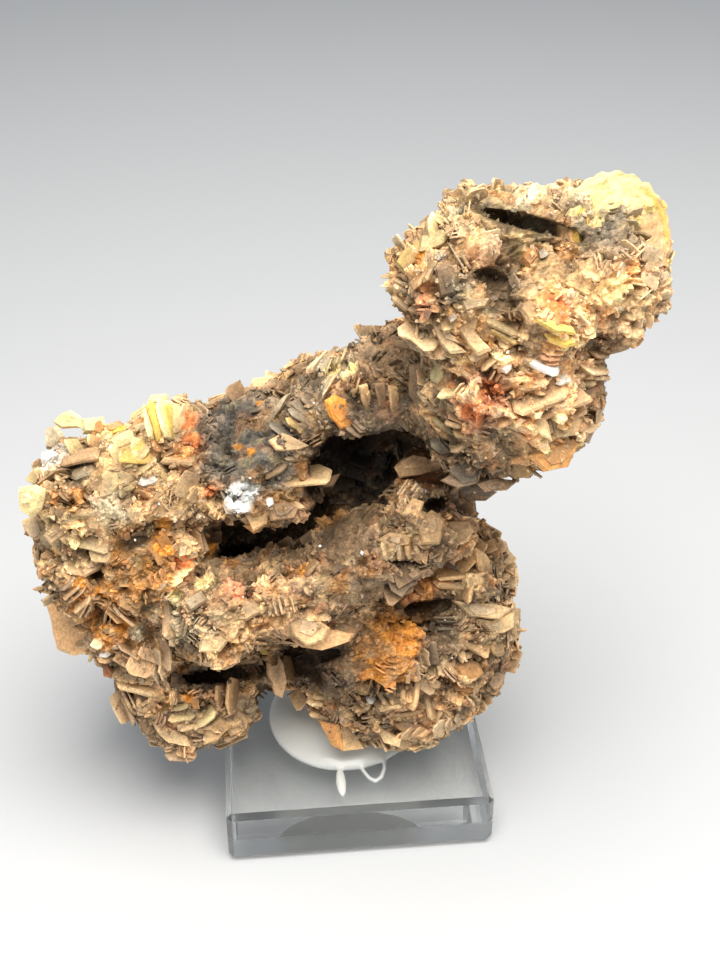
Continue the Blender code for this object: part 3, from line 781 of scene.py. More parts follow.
def camera_axes():
    down = math.radians(CAMERA_DOWN)
    aside = math.radians(CAMERA_TO_RIGHT)
    roll = math.radians(CAMERA_ROLL)
    forward = Vector((math.sin(aside) * math.cos(down), math.cos(aside) * math.cos(down), -math.sin(down)))
    level = Vector((math.cos(aside), -math.sin(aside), 0.0))
    upright = level.cross(forward)
    right = level * math.cos(roll) + upright * math.sin(roll)
    up = upright * math.cos(roll) - level * math.sin(roll)
    return forward, right, up


def photo_ray(point):
    """The direction from the camera through a point of the photograph."""
    forward, right, up = camera_axes()
    pixels = LENS / SENSOR * PHOTO_SIZE[1]
    across = (point[0] - 0.5 * PHOTO_SIZE[0]) / pixels
    below = (point[1] - 0.5 * PHOTO_SIZE[1]) / pixels
    return (forward + right * across - up * below).normalized()


def cast(tree, point):
    """Where the ray through a point of the photograph meets a surface, or None."""
    return tree.ray_cast(EYE, photo_ray(point))[0]


def make_camera():
    data = bpy.data.cameras.new("camera")
    data.sensor_width = SENSOR
    data.sensor_fit = "AUTO"
    data.lens = LENS
    data.clip_start = 0.01
    data.clip_end = 20.0
    camera = add_object("camera", data)
    forward, right, up = camera_axes()
    turn = Matrix((right, up, -forward)).transposed().to_4x4()
    camera.matrix_world = Matrix.Translation(EYE * MM) @ turn
    bpy.context.scene.camera = camera


# Meshes

def add_object(name, data):
    obj = bpy.data.objects.new(name, data)
    bpy.context.scene.collection.objects.link(obj)
    return obj


def object_from(name, bm):
    mesh = bpy.data.meshes.new(name)
    bm.to_mesh(mesh)
    bm.free()
    return add_object(name, mesh)


def painted_object(name, points, faces, colours):
    """An object of these points, in millimetres, and faces, with a colour for each point."""
    mesh = bpy.data.meshes.new(name)
    mesh.from_pydata((points * MM).tolist(), [], faces)
    mesh.update()
    paint(mesh, colours)
    return add_object(name, mesh)


def modify(obj, kind, **settings):
    """Replace the object's mesh by what one modifier makes of it."""
    modifier = obj.modifiers.new(kind, kind)
    for key, value in settings.items():
        setattr(modifier, key, value)
    graph = bpy.context.evaluated_depsgraph_get()
    graph.update()
    mesh = bpy.data.meshes.new_from_object(obj.evaluated_get(graph), depsgraph=graph)
    obj.modifiers.clear()
    obj.data = mesh


def remesh(obj, voxel, smoothing=0):
    modify(obj, "REMESH", mode="VOXEL", voxel_size=voxel * MM)
    if smoothing:
        modify(obj, "SMOOTH", factor=0.5, iterations=smoothing)


def lump_matrices(rows):
    """Where each row of a table puts the unit ball, in millimetres."""
    found = []
    for _, centre, radii, tilt in rows:
        turn = Matrix.Rotation(math.radians(tilt), 4, "Y")
        found.append(Matrix.Translation(centre) @ turn @ Matrix.Diagonal((*radii, 1.0)))
    return found


def add_balls(bm, matrices, subdivisions=4):
    for matrix in matrices:
        in_metres = Matrix.Scale(MM, 4) @ matrix
        bmesh.ops.create_icosphere(bm, subdivisions=subdivisions, radius=1.0, matrix=in_metres)


def ellipsoids(name, matrices):
    bm = bmesh.new()
    add_balls(bm, matrices)
    return object_from(name, bm)


def vertex_rows(mesh, what):
    """The place ("co") or the direction ("normal") of each vertex, as rows."""
    values = np.empty(len(mesh.vertices) * 3)
    mesh.vertices.foreach_get(what, values)
    return values.reshape(-1, 3)


def triangle_rows(mesh):
    mesh.calc_loop_triangles()
    values = np.empty(len(mesh.loop_triangles) * 3, np.int64)
    mesh.loop_triangles.foreach_get("vertices", values)
    return values.reshape(-1, 3)


def search_tree(points, triangles):
    return BVHTree.FromPolygons([Vector(p) for p in points], triangles.tolist())


def turned_faces(rings, sides):
    """Faces of a turned shape: its bands, then its first and its last end."""
    faces = []
    for ring in range(rings - 1):
        for k in range(sides):
            a, b = ring * sides + k, ring * sides + (k + 1) % sides
            faces.append([a, a + sides, b + sides, b])
    faces.append(list(range(sides)))
    faces.append([(rings - 1) * sides + k for k in reversed(range(sides))])
    return faces


def paint(mesh, colours):
    """Store a colour for each vertex, under the name that the materials read."""
    layer = mesh.color_attributes.new("Tone", "FLOAT_COLOR", "POINT")
    values = np.ones((len(mesh.vertices), 4))
    values[:, :3] = unit(colours)
    layer.data.foreach_set("color", values.ravel())


# The crust

def cleft_matrices(core):
    """The unit balls of the clefts, sunk in the core along the camera's view."""
    tree = search_tree(vertex_rows(core.data, "co") / MM, triangle_rows(core.data))
    found = []
    for name, point, radii, turn, sink in CLEFTS:
        place, ray = cast(tree, point), photo_ray(point)
        if place is None:
            raise ValueError(f"the cleft {name} misses the stone")
        level = ray.cross(Vector((0.0, 0.0, 1.0))).normalized()
        level.rotate(Matrix.Rotation(math.radians(-turn), 3, ray))
        frame = axes_matrix(place + ray * sink, level, ray, level.cross(ray))
        found.append(frame @ Matrix.Diagonal((*radii, 1.0)))
    return found


def grown_core():
    """The smooth mass, lumps run together and hollowed, and where its hollows are."""
    core = ellipsoids("crust", lump_matrices(LOBES))
    remesh(core, COARSE_VOXEL, 12)
    dents = lump_matrices(HOLLOWS) + cleft_matrices(core)
    hollows = ellipsoids("hollows", dents + lump_matrices(TRIMS))
    remesh(hollows, HOLLOW_VOXEL)
    modify(core, "BOOLEAN", solver="EXACT", operation="DIFFERENCE", object=hollows)
    bpy.data.objects.remove(hollows, do_unlink=True)
    remesh(core, FINE_VOXEL, 2)
    return core, [np.array(dent.inverted()) for dent in dents]


def reach_in(points, inverse):
    """How far each point is from the middle of a hollow, where its wall is at one."""
    return np.linalg.norm(points @ inverse[:3, :3].T + inverse[:3, 3], axis=1)


def hollow_share(points, dents):
    """One inside the hollows, falling to nothing a little outside them."""
    found = np.zeros(len(points))
    for inverse in dents:
        margin = 0.3 + 0.4 * np.linalg.norm(inverse[:3, :3], axis=1).max()
        found = np.maximum(found, unit((1.0 + margin - reach_in(points, inverse)) / margin))
    return found


class Stone:
    """The smooth core with what the builders ask of it: where a point shows, colours and cover."""

    def __init__(self, core, dents):
        self.dents = dents
        self.points = vertex_rows(core.data, "co") / MM
        self.normals = vertex_rows(core.data, "normal")
        self.triangles = triangle_rows(core.data)
        self.tree = search_tree(self.points, self.triangles)
        self.crust_tree = self.tree
        _, places, radii, crust, blade, covers, sizes = zip(*ZONES)
        self.anchors = np.array([self.anchor(place) for place in places])
        self.radii, self.covers, self.sizes = np.array([radii, covers, sizes])
        self.crust_tones = np.array([TONE[tone] for tone in crust])
        self.blade_tones = np.array([TONE[tone] for tone in blade])
        self.spots = [(np.array(self.anchor(place)), radius, TONE[tone]) for _, place, radius, tone in SPOTS]

    def depth(self, points):
        """Typical distance from the camera plane of what shows at these points."""
        places = [place for place in (cast(self.crust_tree, point) for point in points) if place is not None]
        forward = camera_axes()[0]
        found = [(place - EYE).dot(forward) for place in places or [self.anchor(points[0])]]
        return sorted(found)[len(found) // 3]

    def anchor(self, point):
        """The place that shows at a point, or close beside it where the point is just off the stone."""
        for step in range(ANCHOR_TRIES):
            share = ANCHOR_STEP * step
            place = cast(self.tree, [a + (b - a) * share for a, b in zip(point, STONE_MIDDLE)])
            if place is not None:
                return place
        raise ValueError(f"nothing of the stone shows near {point}")

    def rise(self, points):
        """How far each point stands out of the core; negative inside."""
        found = np.empty(len(points))
        for k, point in enumerate(points):
            near, normal, _, _ = self.tree.find_nearest(Vector(point))
            found[k] = (Vector(point) - near).dot(normal)
        return found

    def weights(self, points):
        bent = points + 1.6 * noise_vectors(points, 4.0)
        gap = (bent ** 2).sum(1)[:, None] + (self.anchors ** 2).sum(1)[None] - 2.0 * bent @ self.anchors.T
        share = np.clip(gap, 0.0, None) / self.radii ** 2
        return np.exp(-1.3 * share ** 1.3)

    def tones(self, points):
        """The crust's and the blades' colours at these points, with painted shade in the hollows."""
        weights = self.weights(points)
        slow = noises(points, 9.0, 5.0)
        fine = noises(points, 4.0, 17.0)
        crust, blade = (np.array([TONE[row[k]] for row in REST_TONES]) for k in (0, 1))
        mix = np.stack([0.5 + 0 * slow, unit(2.6 * slow), unit(2.2 * fine - 0.4),
                        unit(-2.4 * slow - 0.3)], 1) * REST_WEIGHT
        whole = weights.sum(1) + mix.sum(1)
        dull = (weights @ self.crust_tones + mix @ crust) / whole[:, None]
        bright = (weights @ self.blade_tones + mix @ blade) / whole[:, None]
        loose = 0.35 + 0.65 * unit(self.covering(points) / BARE_BELOW)
        for row, (tone, size, start, most) in enumerate(MOTTLES):
            share = unit((noises(points, size, 3.7 * row + 2.0) - start) / 0.15) * most
            share = (share * loose)[:, None]
            stain = 0.5 * TONE[tone] + 0.5 * TONE[tone] * dull.mean(1, keepdims=True) / TONE[tone].mean()
            dull = dull * (1.0 - share) + stain * share
        # Painted shade: crust and blades are darker in the hollows
        shade = 1.0 - HOLLOW_SHADE * hollow_share(points, self.dents)[:, None]
        return self.spotted(points, dull) * shade, self.spotted(points, bright) * shade

    def spotted(self, points, colours):
        """Lay the small marks over the zones, with ragged rims."""
        bent = points + 0.45 * noise_vectors(points, 1.3)
        colours = colours.copy()
        for place, radius, tone in self.spots:
            gap = np.linalg.norm(bent - place, axis=1) / radius
            share = unit((1.25 - gap) / 0.4)[:, None]
            colours = colours * (1.0 - share) + tone * share
        return colours

    def covering(self, points):
        weights = self.weights(points)
        found = (weights @ self.covers + REST_WEIGHT * REST_COVER) / (weights.sum(1) + REST_WEIGHT)
        return found * (1.0 - HOLLOW_BARENESS * hollow_share(points, self.dents))

    def habit(self, point):
        """Cover and size of the blades at one point."""
        weights = self.weights(np.array([point]))[0]
        whole = weights.sum() + REST_WEIGHT
        return self.covering(np.array([point]))[0], (weights @ self.sizes + REST_WEIGHT) / whole


def noises(points, size, shift=0.0):
    """Smooth noise of this size, moved sideways by the shift to get another pattern."""
    return np.array([noise.noise(Vector((x / size + shift, y / size - shift, z / size)))
                     for x, y, z in points])


def noise_vectors(points, size):
    return np.array([noise.noise_vector(Vector((x / size, y / size, z / size))) for x, y, z in points])


def unit(values):
    """The values, held between none and all."""
    return np.clip(values, 0.0, 1.0)


def facet_heights(points, size, slope, step):
    """Cells that each tilt their own way, as broken crystal faces do."""
    found = np.empty(len(points))
    for k, point in enumerate(points):
        _, centres = noise.voronoi(Vector(point) / size)
        centre = centres[0]
        tilt = noise.cell_vector(centre * 7.3)
        found[k] = slope * (Vector(point) - centre * size).dot(tilt) + step * noise.cell(centre * 5.1)
    return found


def crust_heights(stone):
    """Height of the crust over the core: swellings, then broken faces."""
    points = stone.points
    height = np.zeros(len(points))
    for wavelength, amplitude in BUMPS:
        height += amplitude * noises(points, wavelength)
    bent = points + 0.5 * noise_vectors(points, 1.6)
    rough = np.clip(0.75 + 1.3 * noises(points, 6.0, 31.0), 0.25, 1.3)
    rough *= 0.4 + 0.6 * unit(stone.covering(points) / BARE_BELOW)
    calm = 1.0 - HOLLOW_CALM * hollow_share(points, stone.dents)
    for size, slope, step in FACETS:
        height += rough * facet_heights(bent, size, slope, step)
    for length, thickness, amplitude in LEDGES:
        squeezed = bent * np.array([1.0, 1.0, length / thickness])
        squeezed[:, 2] += 0.35 * length / thickness * points[:, 0]
        height += rough * amplitude * noises(squeezed, length, 11.0)
    return (height - height.mean()) * calm


def make_crust(core, stone):
    height = crust_heights(stone)
    wide = 1.3 * noises(stone.points, 11.0) + 0.9 * noises(stone.points, 5.0)
    low = height - wide
    low -= low.mean()
    points = stone.points + stone.normals * height[:, None]
    core.data.vertices.foreach_set("co", (points * MM).ravel())
    core.data.update()
    stone.crust_tree = search_tree(points, stone.triangles)
    crust, blade = stone.tones(stone.points)
    fine = noises(points, 0.9, 3.0) + 0.6 * noises(points, 0.45, 7.0)
    # Painted shade: the crust is darker where it lies low and lighter where it stands high, with fine grain
    # mixed in
    lift = np.clip(0.95 + 0.6 * low + 0.45 * fine, 0.35, 1.7)[:, None]
    share = np.clip(0.9 * fine + 0.5 * low - 0.15, 0.0, 0.7)[:, None]
    paint(core.data, (crust * (1 - share) + blade * share) * lift)
    for polygon in core.data.polygons:
        polygon.use_smooth = False
    return points


# Plates

def blade_outline(pick, length, width):
    """Eight corners of a tablet with chiselled corners; its outer edge lies towards plus Y."""
    a, b = 0.5 * length, 0.5 * width
    cuts = [pick.uniform(0.15, 0.6) * min(a, b) for _ in range(4)]
    skew = pick.uniform(-0.25, 0.25) * a
    dip = pick.uniform(-0.12, 0.16) * b
    rows = [(-a + cuts[0], -b), (a - cuts[1], -b), (a, -b + cuts[1]), (a + 0.3 * skew, b - cuts[2]),
            (a - cuts[2] + 0.5 * skew, b), (0.2 * a + skew, b - dip),
            (-a + cuts[3] + 0.5 * skew, b + 0.5 * dip), (-a, b - 1.2 * cuts[3])]
    wobble = 0.04 * min(length, width)
    return [(x + pick.uniform(-wobble, wobble), y + pick.uniform(-wobble, wobble)) for x, y in rows]


class Plates:
    """Collects flat crystals and makes one mesh of them."""

    def __init__(self, rings=3):
        self.rings = rings
        self.places = []
        self.tints = []
        self.rims = []
        self.faces = []
        self.total = 0

    def add(self, outline, thickness, matrix, tint):
        """A closed plate. Its rim is full at mid height and drawn in above and below."""
        flat = np.array(outline)
        n = len(flat)
        middle = flat.mean(0)
        reach = np.abs(flat - middle).max()
        inner = max(0.2, 1.0 - 0.45 * thickness / reach)
        levels = ((-0.5, inner), (0.0, 1.0), (0.5, inner))
        if self.rings == 2:
            levels = ((-0.5, 1.0), (0.5, inner))
        rows = [np.column_stack([middle + (flat - middle) * scale, np.full(n, level * thickness)])
                for level, scale in levels]
        rows.append(np.array([[*middle, -0.5 * thickness], [*middle, 0.5 * thickness]]))
        local = np.vstack(rows)
        turn = np.array(matrix.to_3x3())
        self.places.append(local @ turn.T + np.array(matrix.translation))
        self.tints.append(np.tile(tint, (len(local), 1)))
        rim = np.zeros(len(local))
        rim[:self.rings * n] = 0.18
        if self.rings == 3:
            rim[n:2 * n] = 0.34
        self.rims.append(rim)
        self.faces.append(plate_faces(n, self.rings) + self.total)
        self.total += len(local)

    def build(self, name, stone):
        """One mesh: lighter rims (worn edges with painted highlight), painted shade and the crust's dust
        towards the root, lighter tips.
        """
        points = np.vstack(self.places)
        points += 0.05 * noise_vectors(points, 0.7)
        rise = stone.rise(points)
        # Painted shade: dark where the plate sits near the crust, lighter towards its tips
        light = np.clip(0.50 + 0.28 * rise, 0.25, 1.0)[:, None]
        grain = 1.0 + 0.35 * noises(points, 1.1, 9.0)[:, None]
        crust, _ = stone.tones(points)
        dust = np.clip(0.65 - 0.35 * rise, 0.0, 0.7)[:, None]
        colour = np.vstack(self.tints) * (1.0 - dust) + crust * dust
        # Lighter rims: partly worn edges, partly painted highlight
        colour = colour * light * grain * (1.0 + np.concatenate(self.rims)[:, None])
        return painted_object(name, points, np.vstack(self.faces).tolist(), colour)


@lru_cache
def plate_faces(n, rings):
    """Triangles of a plate with n corners: its sides, then the fans below and above."""
    rows = []
    for ring in range(rings - 1):
        for k in range(n):
            a, b = ring * n + k, ring * n + (k + 1) % n
            rows += [(a, b, b + n), (a, b + n, a + n)]
    top = (rings - 1) * n
    for k in range(n):
        after = (k + 1) % n
        rows += [(after, k, rings * n), (top + k, top + after, rings * n + 1)]
    return np.array(rows)


# Listed crystals

def facing_axes(azimuth, elevation):
    """A direction that many degrees right of the front and up from level, then its side and its up."""
    a, e = math.radians(azimuth), math.radians(elevation)
    facing = Vector((math.sin(a) * math.cos(e), -math.cos(a) * math.cos(e), math.sin(e)))
    side = Vector((0.0, 0.0, 1.0)).cross(facing).normalized()
    return facing, side, facing.cross(side)


def point_at_depth(point, depth):
    ray = photo_ray(point)
    return EYE + ray * (depth / ray.dot(camera_axes()[0]))


def ragged(pick, outline, step, wobble):
    """The outline with its long sides broken into short ones that are a little off line."""
    found = []
    for (x0, y0), (x1, y1) in zip(outline, outline[1:] + outline[:1]):
        length = math.hypot(x1 - x0, y1 - y0)
        parts = max(1, int(length / step))
        for k in range(parts):
            share = k / parts
            off = pick.uniform(-wobble, wobble) if k else 0.0
            x = x0 + (x1 - x0) * share + off * (y1 - y0) / length
            y = y0 + (y1 - y0) * share - off * (x1 - x0) / length
            found.append((x, y))
    return found


def add_sheet(pick, plates, stone, row, heroes):
    """A face whose outline is known from the photograph, on a plane that touches the crust there."""
    name, thickness, heading, tone, *outline = row
    centre = [sum(c) / len(outline) for c in zip(*outline)]
    inner = [[c + (v - c) * 0.6 for c, v in zip(centre, point)] for point in outline]
    depth = stone.depth([centre] + inner) - RAISED.get(name, SHEET_STAND)
    origin = point_at_depth(centre, depth)
    facing, side, up = facing_axes(*heading)
    flat = []
    for point in outline:
        ray = photo_ray(point)
        place = EYE + ray * ((origin - EYE).dot(facing) / ray.dot(facing))
        flat.append(((place - origin).dot(side), (place - origin).dot(up)))
        heroes.append(place)
    heroes.append(origin.copy())
    area = sum(x0 * y1 - x1 * y0 for (x0, y0), (x1, y1) in zip(flat, flat[1:] + flat[:1]))
    if area < 0.0:
        flat.reverse()
    flat = ragged(pick, flat, 1.1, 0.10)
    matrix = axes_matrix(origin - facing * (0.5 * thickness), side, up, facing)
    plates.add(flat, thickness, matrix, TONE[tone])
    size = max(math.hypot(x, y) for x, y in flat)
    if size > 2.0 and pick.random() < 0.5:
        shift = (pick.uniform(-0.12, 0.12) * size, pick.uniform(-0.05, 0.2) * size)
        scale = pick.uniform(0.4, 0.7)
        terrace = [(scale * x + shift[0], scale * y + shift[1]) for x, y in flat[::2]]
        lifted = axes_matrix(origin + facing * 0.05, side, up, facing)
        plates.add(terrace, 0.35, lifted, vary(pick, TONE[tone], 0.12))


def add_edge(pick, plates, stone, row, heroes):
    """A blade that shows its edge: it runs between two points of the photograph and back into the stone."""
    _, start, end, deep, thickness, turn, tone = row
    forward, _, camera_up = camera_axes()
    middle = [0.5 * (a + b) for a, b in zip(start, end)]
    depth = stone.depth([start, middle, end]) - EDGE_STAND
    first, last = point_at_depth(start, depth), point_at_depth(end, depth)
    run = (last - first).normalized()
    perpendicular = run.cross(forward).normalized()
    if perpendicular.dot(camera_up) < 0.0:
        perpendicular.negate()
    angle = math.radians(turn)
    inward = perpendicular * math.cos(angle) + forward * math.sin(angle)
    length = (last - first).length
    place = 0.5 * (first + last) + inward * (0.5 * deep)
    outline = blade_outline(pick, length, deep)
    plates.add(outline, thickness, axes_matrix(place, run, -inward, run.cross(-inward)), TONE[tone])
    heroes.extend([first, last, 0.5 * (first + last)])


def add_placed(pick, plates, row):
    _, middle, (length, width, thickness), (tip, turn, nod), tone = row
    lean = Matrix.Rotation(math.radians(90.0 - CAMERA_DOWN), 4, "X")
    in_plane = Matrix.Rotation(math.radians(tip), 4, "Z")
    forward = Matrix.Rotation(math.radians(-nod), 4, "Y")
    roll = Matrix.Rotation(math.radians(turn), 4, "X")
    outline = ragged(pick, blade_outline(pick, length, width), 1.2, 0.12)
    plates.add(outline, thickness, Matrix.Translation(middle) @ lean @ in_plane @ forward @ roll, TONE[tone])


def listed_crystals(stone):
    pick = random.Random(SEED + 3)
    plates = Plates()
    heroes = []
    for row in SHEETS:
        add_sheet(pick, plates, stone, row, heroes)
    for row in EDGES:
        add_edge(pick, plates, stone, row, heroes)
    for row in PLACED:
        add_placed(pick, plates, row)
    return plates, heroes


def fan_piece():
    """The ribbed, rounded rim at the head's right end: a turned profile with ribs and growth steps."""
    facing, side, up = facing_axes(*FAN_HEADING)
    points, colours = [], []
    for (radius, out), k in product(FAN_PROFILE, range(FAN_SIDES)):
        angle = 2.0 * math.pi * k / FAN_SIDES
        across, along = math.sin(angle), math.cos(angle)
        rib = 0.035 * noise.noise(Vector((7.0 * angle, radius, 1.0)))
        rib += 0.012 * math.sin(23.0 * angle + radius)
        reach = radius * (1.0 + 0.05 * math.sin(2.0 * angle + 0.6) + rib)
        step = 0.24 * noise.noise(Vector((4.0 * across, 4.0 * along, 2.2 * radius)))
        place = Vector(FAN_CENTRE) + side * (reach * across) + up * (reach * along) + facing * (out + step)
        points.append(tuple(place))
        colours.append(fan_tone(math.degrees(angle), radius, out))
    points = np.array(points)
    grain = 1.0 + 0.25 * noises(points, 1.3, 3.0) + 0.2 * noises(points, 0.5, 8.0)
    faces = turned_faces(len(FAN_PROFILE), FAN_SIDES)
    return painted_object("fan", points, faces, np.array(colours) * grain[:, None])


def fan_tone(angle, radius, out):
    """Pale above, a yellow band inside the rim, peach and tan to the right and below; the pale top and tan
    underside are partly painted light from above, and the grooves get painted shade.
    """
    turned = angle if angle < 180.0 else 360.0 - angle
    if 5.8 < radius < 7.0:
        stops = [(0, "pale"), (30, "pale"), (50, "yellow"), (95, "yellow"), (115, "light_tan"), (150, "tan")]
    else:
        stops = [(0, "pale"), (35, "pale"), (55, "cream"), (75, "peach"), (110, "light_tan"), (130, "tan")]
    # Painted shade in the grooves at the growth steps
    groove_shade = 0.82 if round(out * 10) % 10 in (3, 8) else 0.92
    for (low, first), (high, second) in zip(stops, stops[1:]):
        if turned <= high:
            share = (turned - low) / (high - low)
            return (TONE[first] * (1.0 - share) + TONE[second] * share) * groove_shade
    return TONE[stops[-1][1]] * groove_shade


def axes_matrix(place, along, across, face):
    turn = Matrix((along, across, face)).transposed().to_4x4()
    return Matrix.Translation(place) @ turn


def square_frame(along, hint):
    """A right-angled set of directions whose first is along and whose second is near hint."""
    along = along.normalized()
    across = (hint - along * hint.dot(along)).normalized()
    return along, across, along.cross(across)


def vary(pick, tint, spread=0.3):
    """The same mineral, a little lighter or darker and a little redder or paler."""
    factor = 1.0 + pick.uniform(-spread, spread)
    shift = pick.uniform(-0.09, 0.09)
    grey = pick.uniform(0.0, 0.18)
    changed = tint * factor * np.array([1.0 + shift, 1.0, 1.0 - shift])
    return unit(changed * (1.0 - grey) + changed.mean() * grey)


def random_side(pick, normal):
    """A direction at right angles to the normal."""
    side = normal.orthogonal()
    side.rotate(Matrix.Rotation(pick.uniform(0.0, 2.0 * math.pi), 3, normal))
    return side


def cluster(pick, plates, place, normal, length, tint):
    """A few tablets that grew together, sunk in the crust so that mostly their outer edges show."""
    side = random_side(pick, normal)
    other = normal.cross(side)
    kind = pick.choices(("book", "fan", "cross", "shingle"), (5, 4, 2, 3))[0]
    count = pick.randint(1, 4)
    lean = math.radians(pick.uniform(-40.0, 40.0))
    spread = math.radians(pick.uniform(12.0, 26.0))
    for k in range(count):
        step = k - 0.5 * (count - 1)
        size = length * pick.uniform(0.55, 1.15)
        width = size * pick.uniform(0.4, 0.8)
        thickness = pick.uniform(0.2, 0.5) * (0.5 + 0.11 * length)
        run = side
        angle = lean
        foot = place + side * pick.uniform(-0.15, 0.15) * size
        if kind == "book":
            angle += math.radians(pick.uniform(-4.0, 4.0))
            foot = foot + other * (step * (thickness + pick.uniform(0.15, 0.5)))
        elif kind == "fan":
            angle += step * spread
            foot = foot + other * (step * 0.6)
        elif kind == "shingle":
            angle = math.radians(pick.uniform(50.0, 72.0))
            foot = foot + other * (step * 1.1)
        else:
            angle = math.radians(pick.uniform(-45.0, 45.0))
            run = (side + other * pick.uniform(-2.5, 2.5)).normalized()
        out = normal * math.cos(angle) + normal.cross(run) * math.sin(angle)
        run = (run + out * pick.uniform(-0.35, 0.35)).normalized()
        out, run, _ = square_frame(out, run)
        middle = foot + out * (pick.uniform(-0.06, 0.14) * width)
        outline = blade_outline(pick, size, width)
        plates.add(outline, thickness, axes_matrix(middle, run, out, run.cross(out)), vary(pick, tint))


def surface_places(pick, stone, points, count):
    """Seeded places over the crust, with the smooth normal of the core."""
    corners = points[stone.triangles]
    area = np.linalg.norm(np.cross(corners[:, 1] - corners[:, 0], corners[:, 2] - corners[:, 0]), axis=1)
    totals = np.cumsum(area)
    draws = np.array([pick.random() for _ in range(count)]) * totals[-1]
    chosen = stone.triangles[np.searchsorted(totals, draws)]
    shares = np.array([[pick.random(), pick.random()] for _ in range(count)])
    over = shares.sum(1) > 1.0
    shares[over] = 1.0 - shares[over]
    weights = np.column_stack([1.0 - shares.sum(1), shares])[:, :, None]
    return (points[chosen] * weights).sum(1), (stone.normals[chosen] * weights).sum(1)


def near_fan(place):
    """Whether a place lies on the open side of the fan, which stays clean."""
    facing, side, up = facing_axes(*FAN_HEADING)
    offset = Vector(place) - Vector(FAN_CENTRE)
    out = offset.dot(facing)
    angle = math.degrees(math.atan2(offset.dot(side), offset.dot(up)))
    across = (offset - facing * out).length
    return all(low < value < high for value, (low, high) in zip((out, across, angle), FAN_CLEAR))


def beside_clefts(points, clefts, reach=CLEFT_CLEARANCE):
    """Which points have a cleft within reach, so that no blade closes it."""
    found = np.zeros(len(points), bool)
    for axis, way in product(range(3), (-reach, reach)):
        moved = points.copy()
        moved[:, axis] += way
        for inverse in clefts:
            found |= reach_in(moved, inverse) < 1.1
    return found


class Crowd:
    """Places that are taken, kept in cells for a quick search."""

    def __init__(self, places):
        self.cells = {}
        for place in places:
            self.note(place)

    def key(self, place, way=(0, 0, 0)):
        return tuple(math.floor(c / CROWD_CELL) + step for c, step in zip(place, way))

    def note(self, place):
        self.cells.setdefault(self.key(place), []).append(place)

    def near(self, place, reach):
        ways = product((-1, 0, 1), repeat=3)
        return any((other - place).length < reach
                   for way in ways for other in self.cells.get(self.key(place, way), ()))


def strewn_clusters(stone, points, heroes):
    pick = random.Random(SEED)
    places, normals = surface_places(pick, stone, points, CLUSTER_TRIES)
    crowd = Crowd(heroes)
    upper, lower = Plates(), Plates()
    _, tints = stone.tones(places)
    over = beside_clefts(places, stone.dents[len(HOLLOWS):])
    for place, normal, tint, blocked in zip(places, normals, tints, over):
        place, normal = Vector(place), Vector(normal).normalized()
        if blocked or (place.z < UNDERSIDE_BELOW and normal.z < -0.3) or near_fan(place):
            continue
        cover, size = stone.habit(place)
        if pick.random() > cover or crowd.near(place, CLUSTER_SPACING * (0.55 + 0.45 * size)):
            continue
        crowd.note(place)
        shortest, longest = BLADE_LENGTH
        length = size * (shortest + (longest - shortest) * pick.random() ** 1.4)
        cluster(pick, upper if place.z > UPPER_FROM else lower, place, normal, length, tint)
    return upper, lower


def nearness(listed):
    """A search tree over the listed crystals, around which the small ones keep clear."""
    spots = []
    for shell in listed.places:
        middle = shell.mean(0)
        spots.append(middle)
        spots.extend(shell)
        spots.extend((shell + middle) * 0.5)
    tree = KDTree(len(spots))
    for index, spot in enumerate(spots):
        tree.insert(spot, index)
    tree.balance()
    return tree


def strewn_micro(stone, points, listed):
    """Small blades all over the crust, most of them in rows of two or three on edge."""
    pick = random.Random(SEED + 1)
    micro = Plates(rings=2)
    taken = nearness(listed)
    places, normals = surface_places(pick, stone, points, MICRO_COUNT)
    crust, blade = stone.tones(places)
    covers = stone.covering(places)
    for place, normal, dull, bright, cover in zip(places, normals, crust, blade, covers):
        if pick.random() > 0.03 + 1.4 * cover or near_fan(place) or taken.find(place)[2] < LISTED_CLEARANCE:
            continue
        place, normal = Vector(place), Vector(normal).normalized()
        run = random_side(pick, normal)
        lying = pick.random() < LYING_SHARE
        angle = math.radians(pick.uniform(55.0, 80.0) if lying else pick.uniform(-45.0, 45.0))
        out = normal * math.cos(angle) + normal.cross(run) * math.sin(angle)
        share = pick.random()
        tint = (dull * (1.0 - share) + bright * share) * 1.25
        length = pick.uniform(*MICRO_LENGTH)
        for k in range(1 if lying else pick.randint(1, 3)):
            size = length * pick.uniform(0.6, 1.0)
            high = min(size, 1.7) * pick.uniform(0.35, 0.6)
            outline = [(-0.5 * size, -0.5 * high), (0.5 * size, -0.5 * high), (0.42 * size, 0.4 * high),
                       (pick.uniform(-0.2, 0.3) * size, 0.7 * high), (-0.42 * size, 0.5 * high)]
            tilted = (run + out * pick.uniform(-0.4, 0.4)).normalized()
            frame = square_frame(tilted, out)
            foot = place + normal.cross(run) * (k * pick.uniform(0.3, 0.6)) + run * pick.uniform(-0.3, 0.3)
            micro.add(outline, pick.uniform(0.12, 0.28), axes_matrix(foot, *frame), vary(pick, tint, 0.2))
    return micro


def grit_places(pick, groups, count):
    """Places on the faces of blades, where small crystals have settled."""
    shells = [shell for plates in groups for shell in plates.places]
    found = []
    for _ in range(count):
        shell = pick.choice(shells)
        first, second, third = (shell[pick.randrange(len(shell))] for _ in range(3))
        a, b = sorted((pick.random(), pick.random()))
        found.append(first * a + second * (b - a) + third * (1.0 - b))
    return np.array(found)


def crumb_axes(pick, size):
    """The three half axes of a small crystal that lies anyhow."""
    stretch = np.diag([pick.uniform(0.6, 1.3) * size for _ in range(3)])
    axis = Vector((pick.gauss(0, 1), pick.gauss(0, 1), 1.0))
    return stretch @ np.array(Matrix.Rotation(pick.uniform(0.0, 2.0 * math.pi), 3, axis)).T


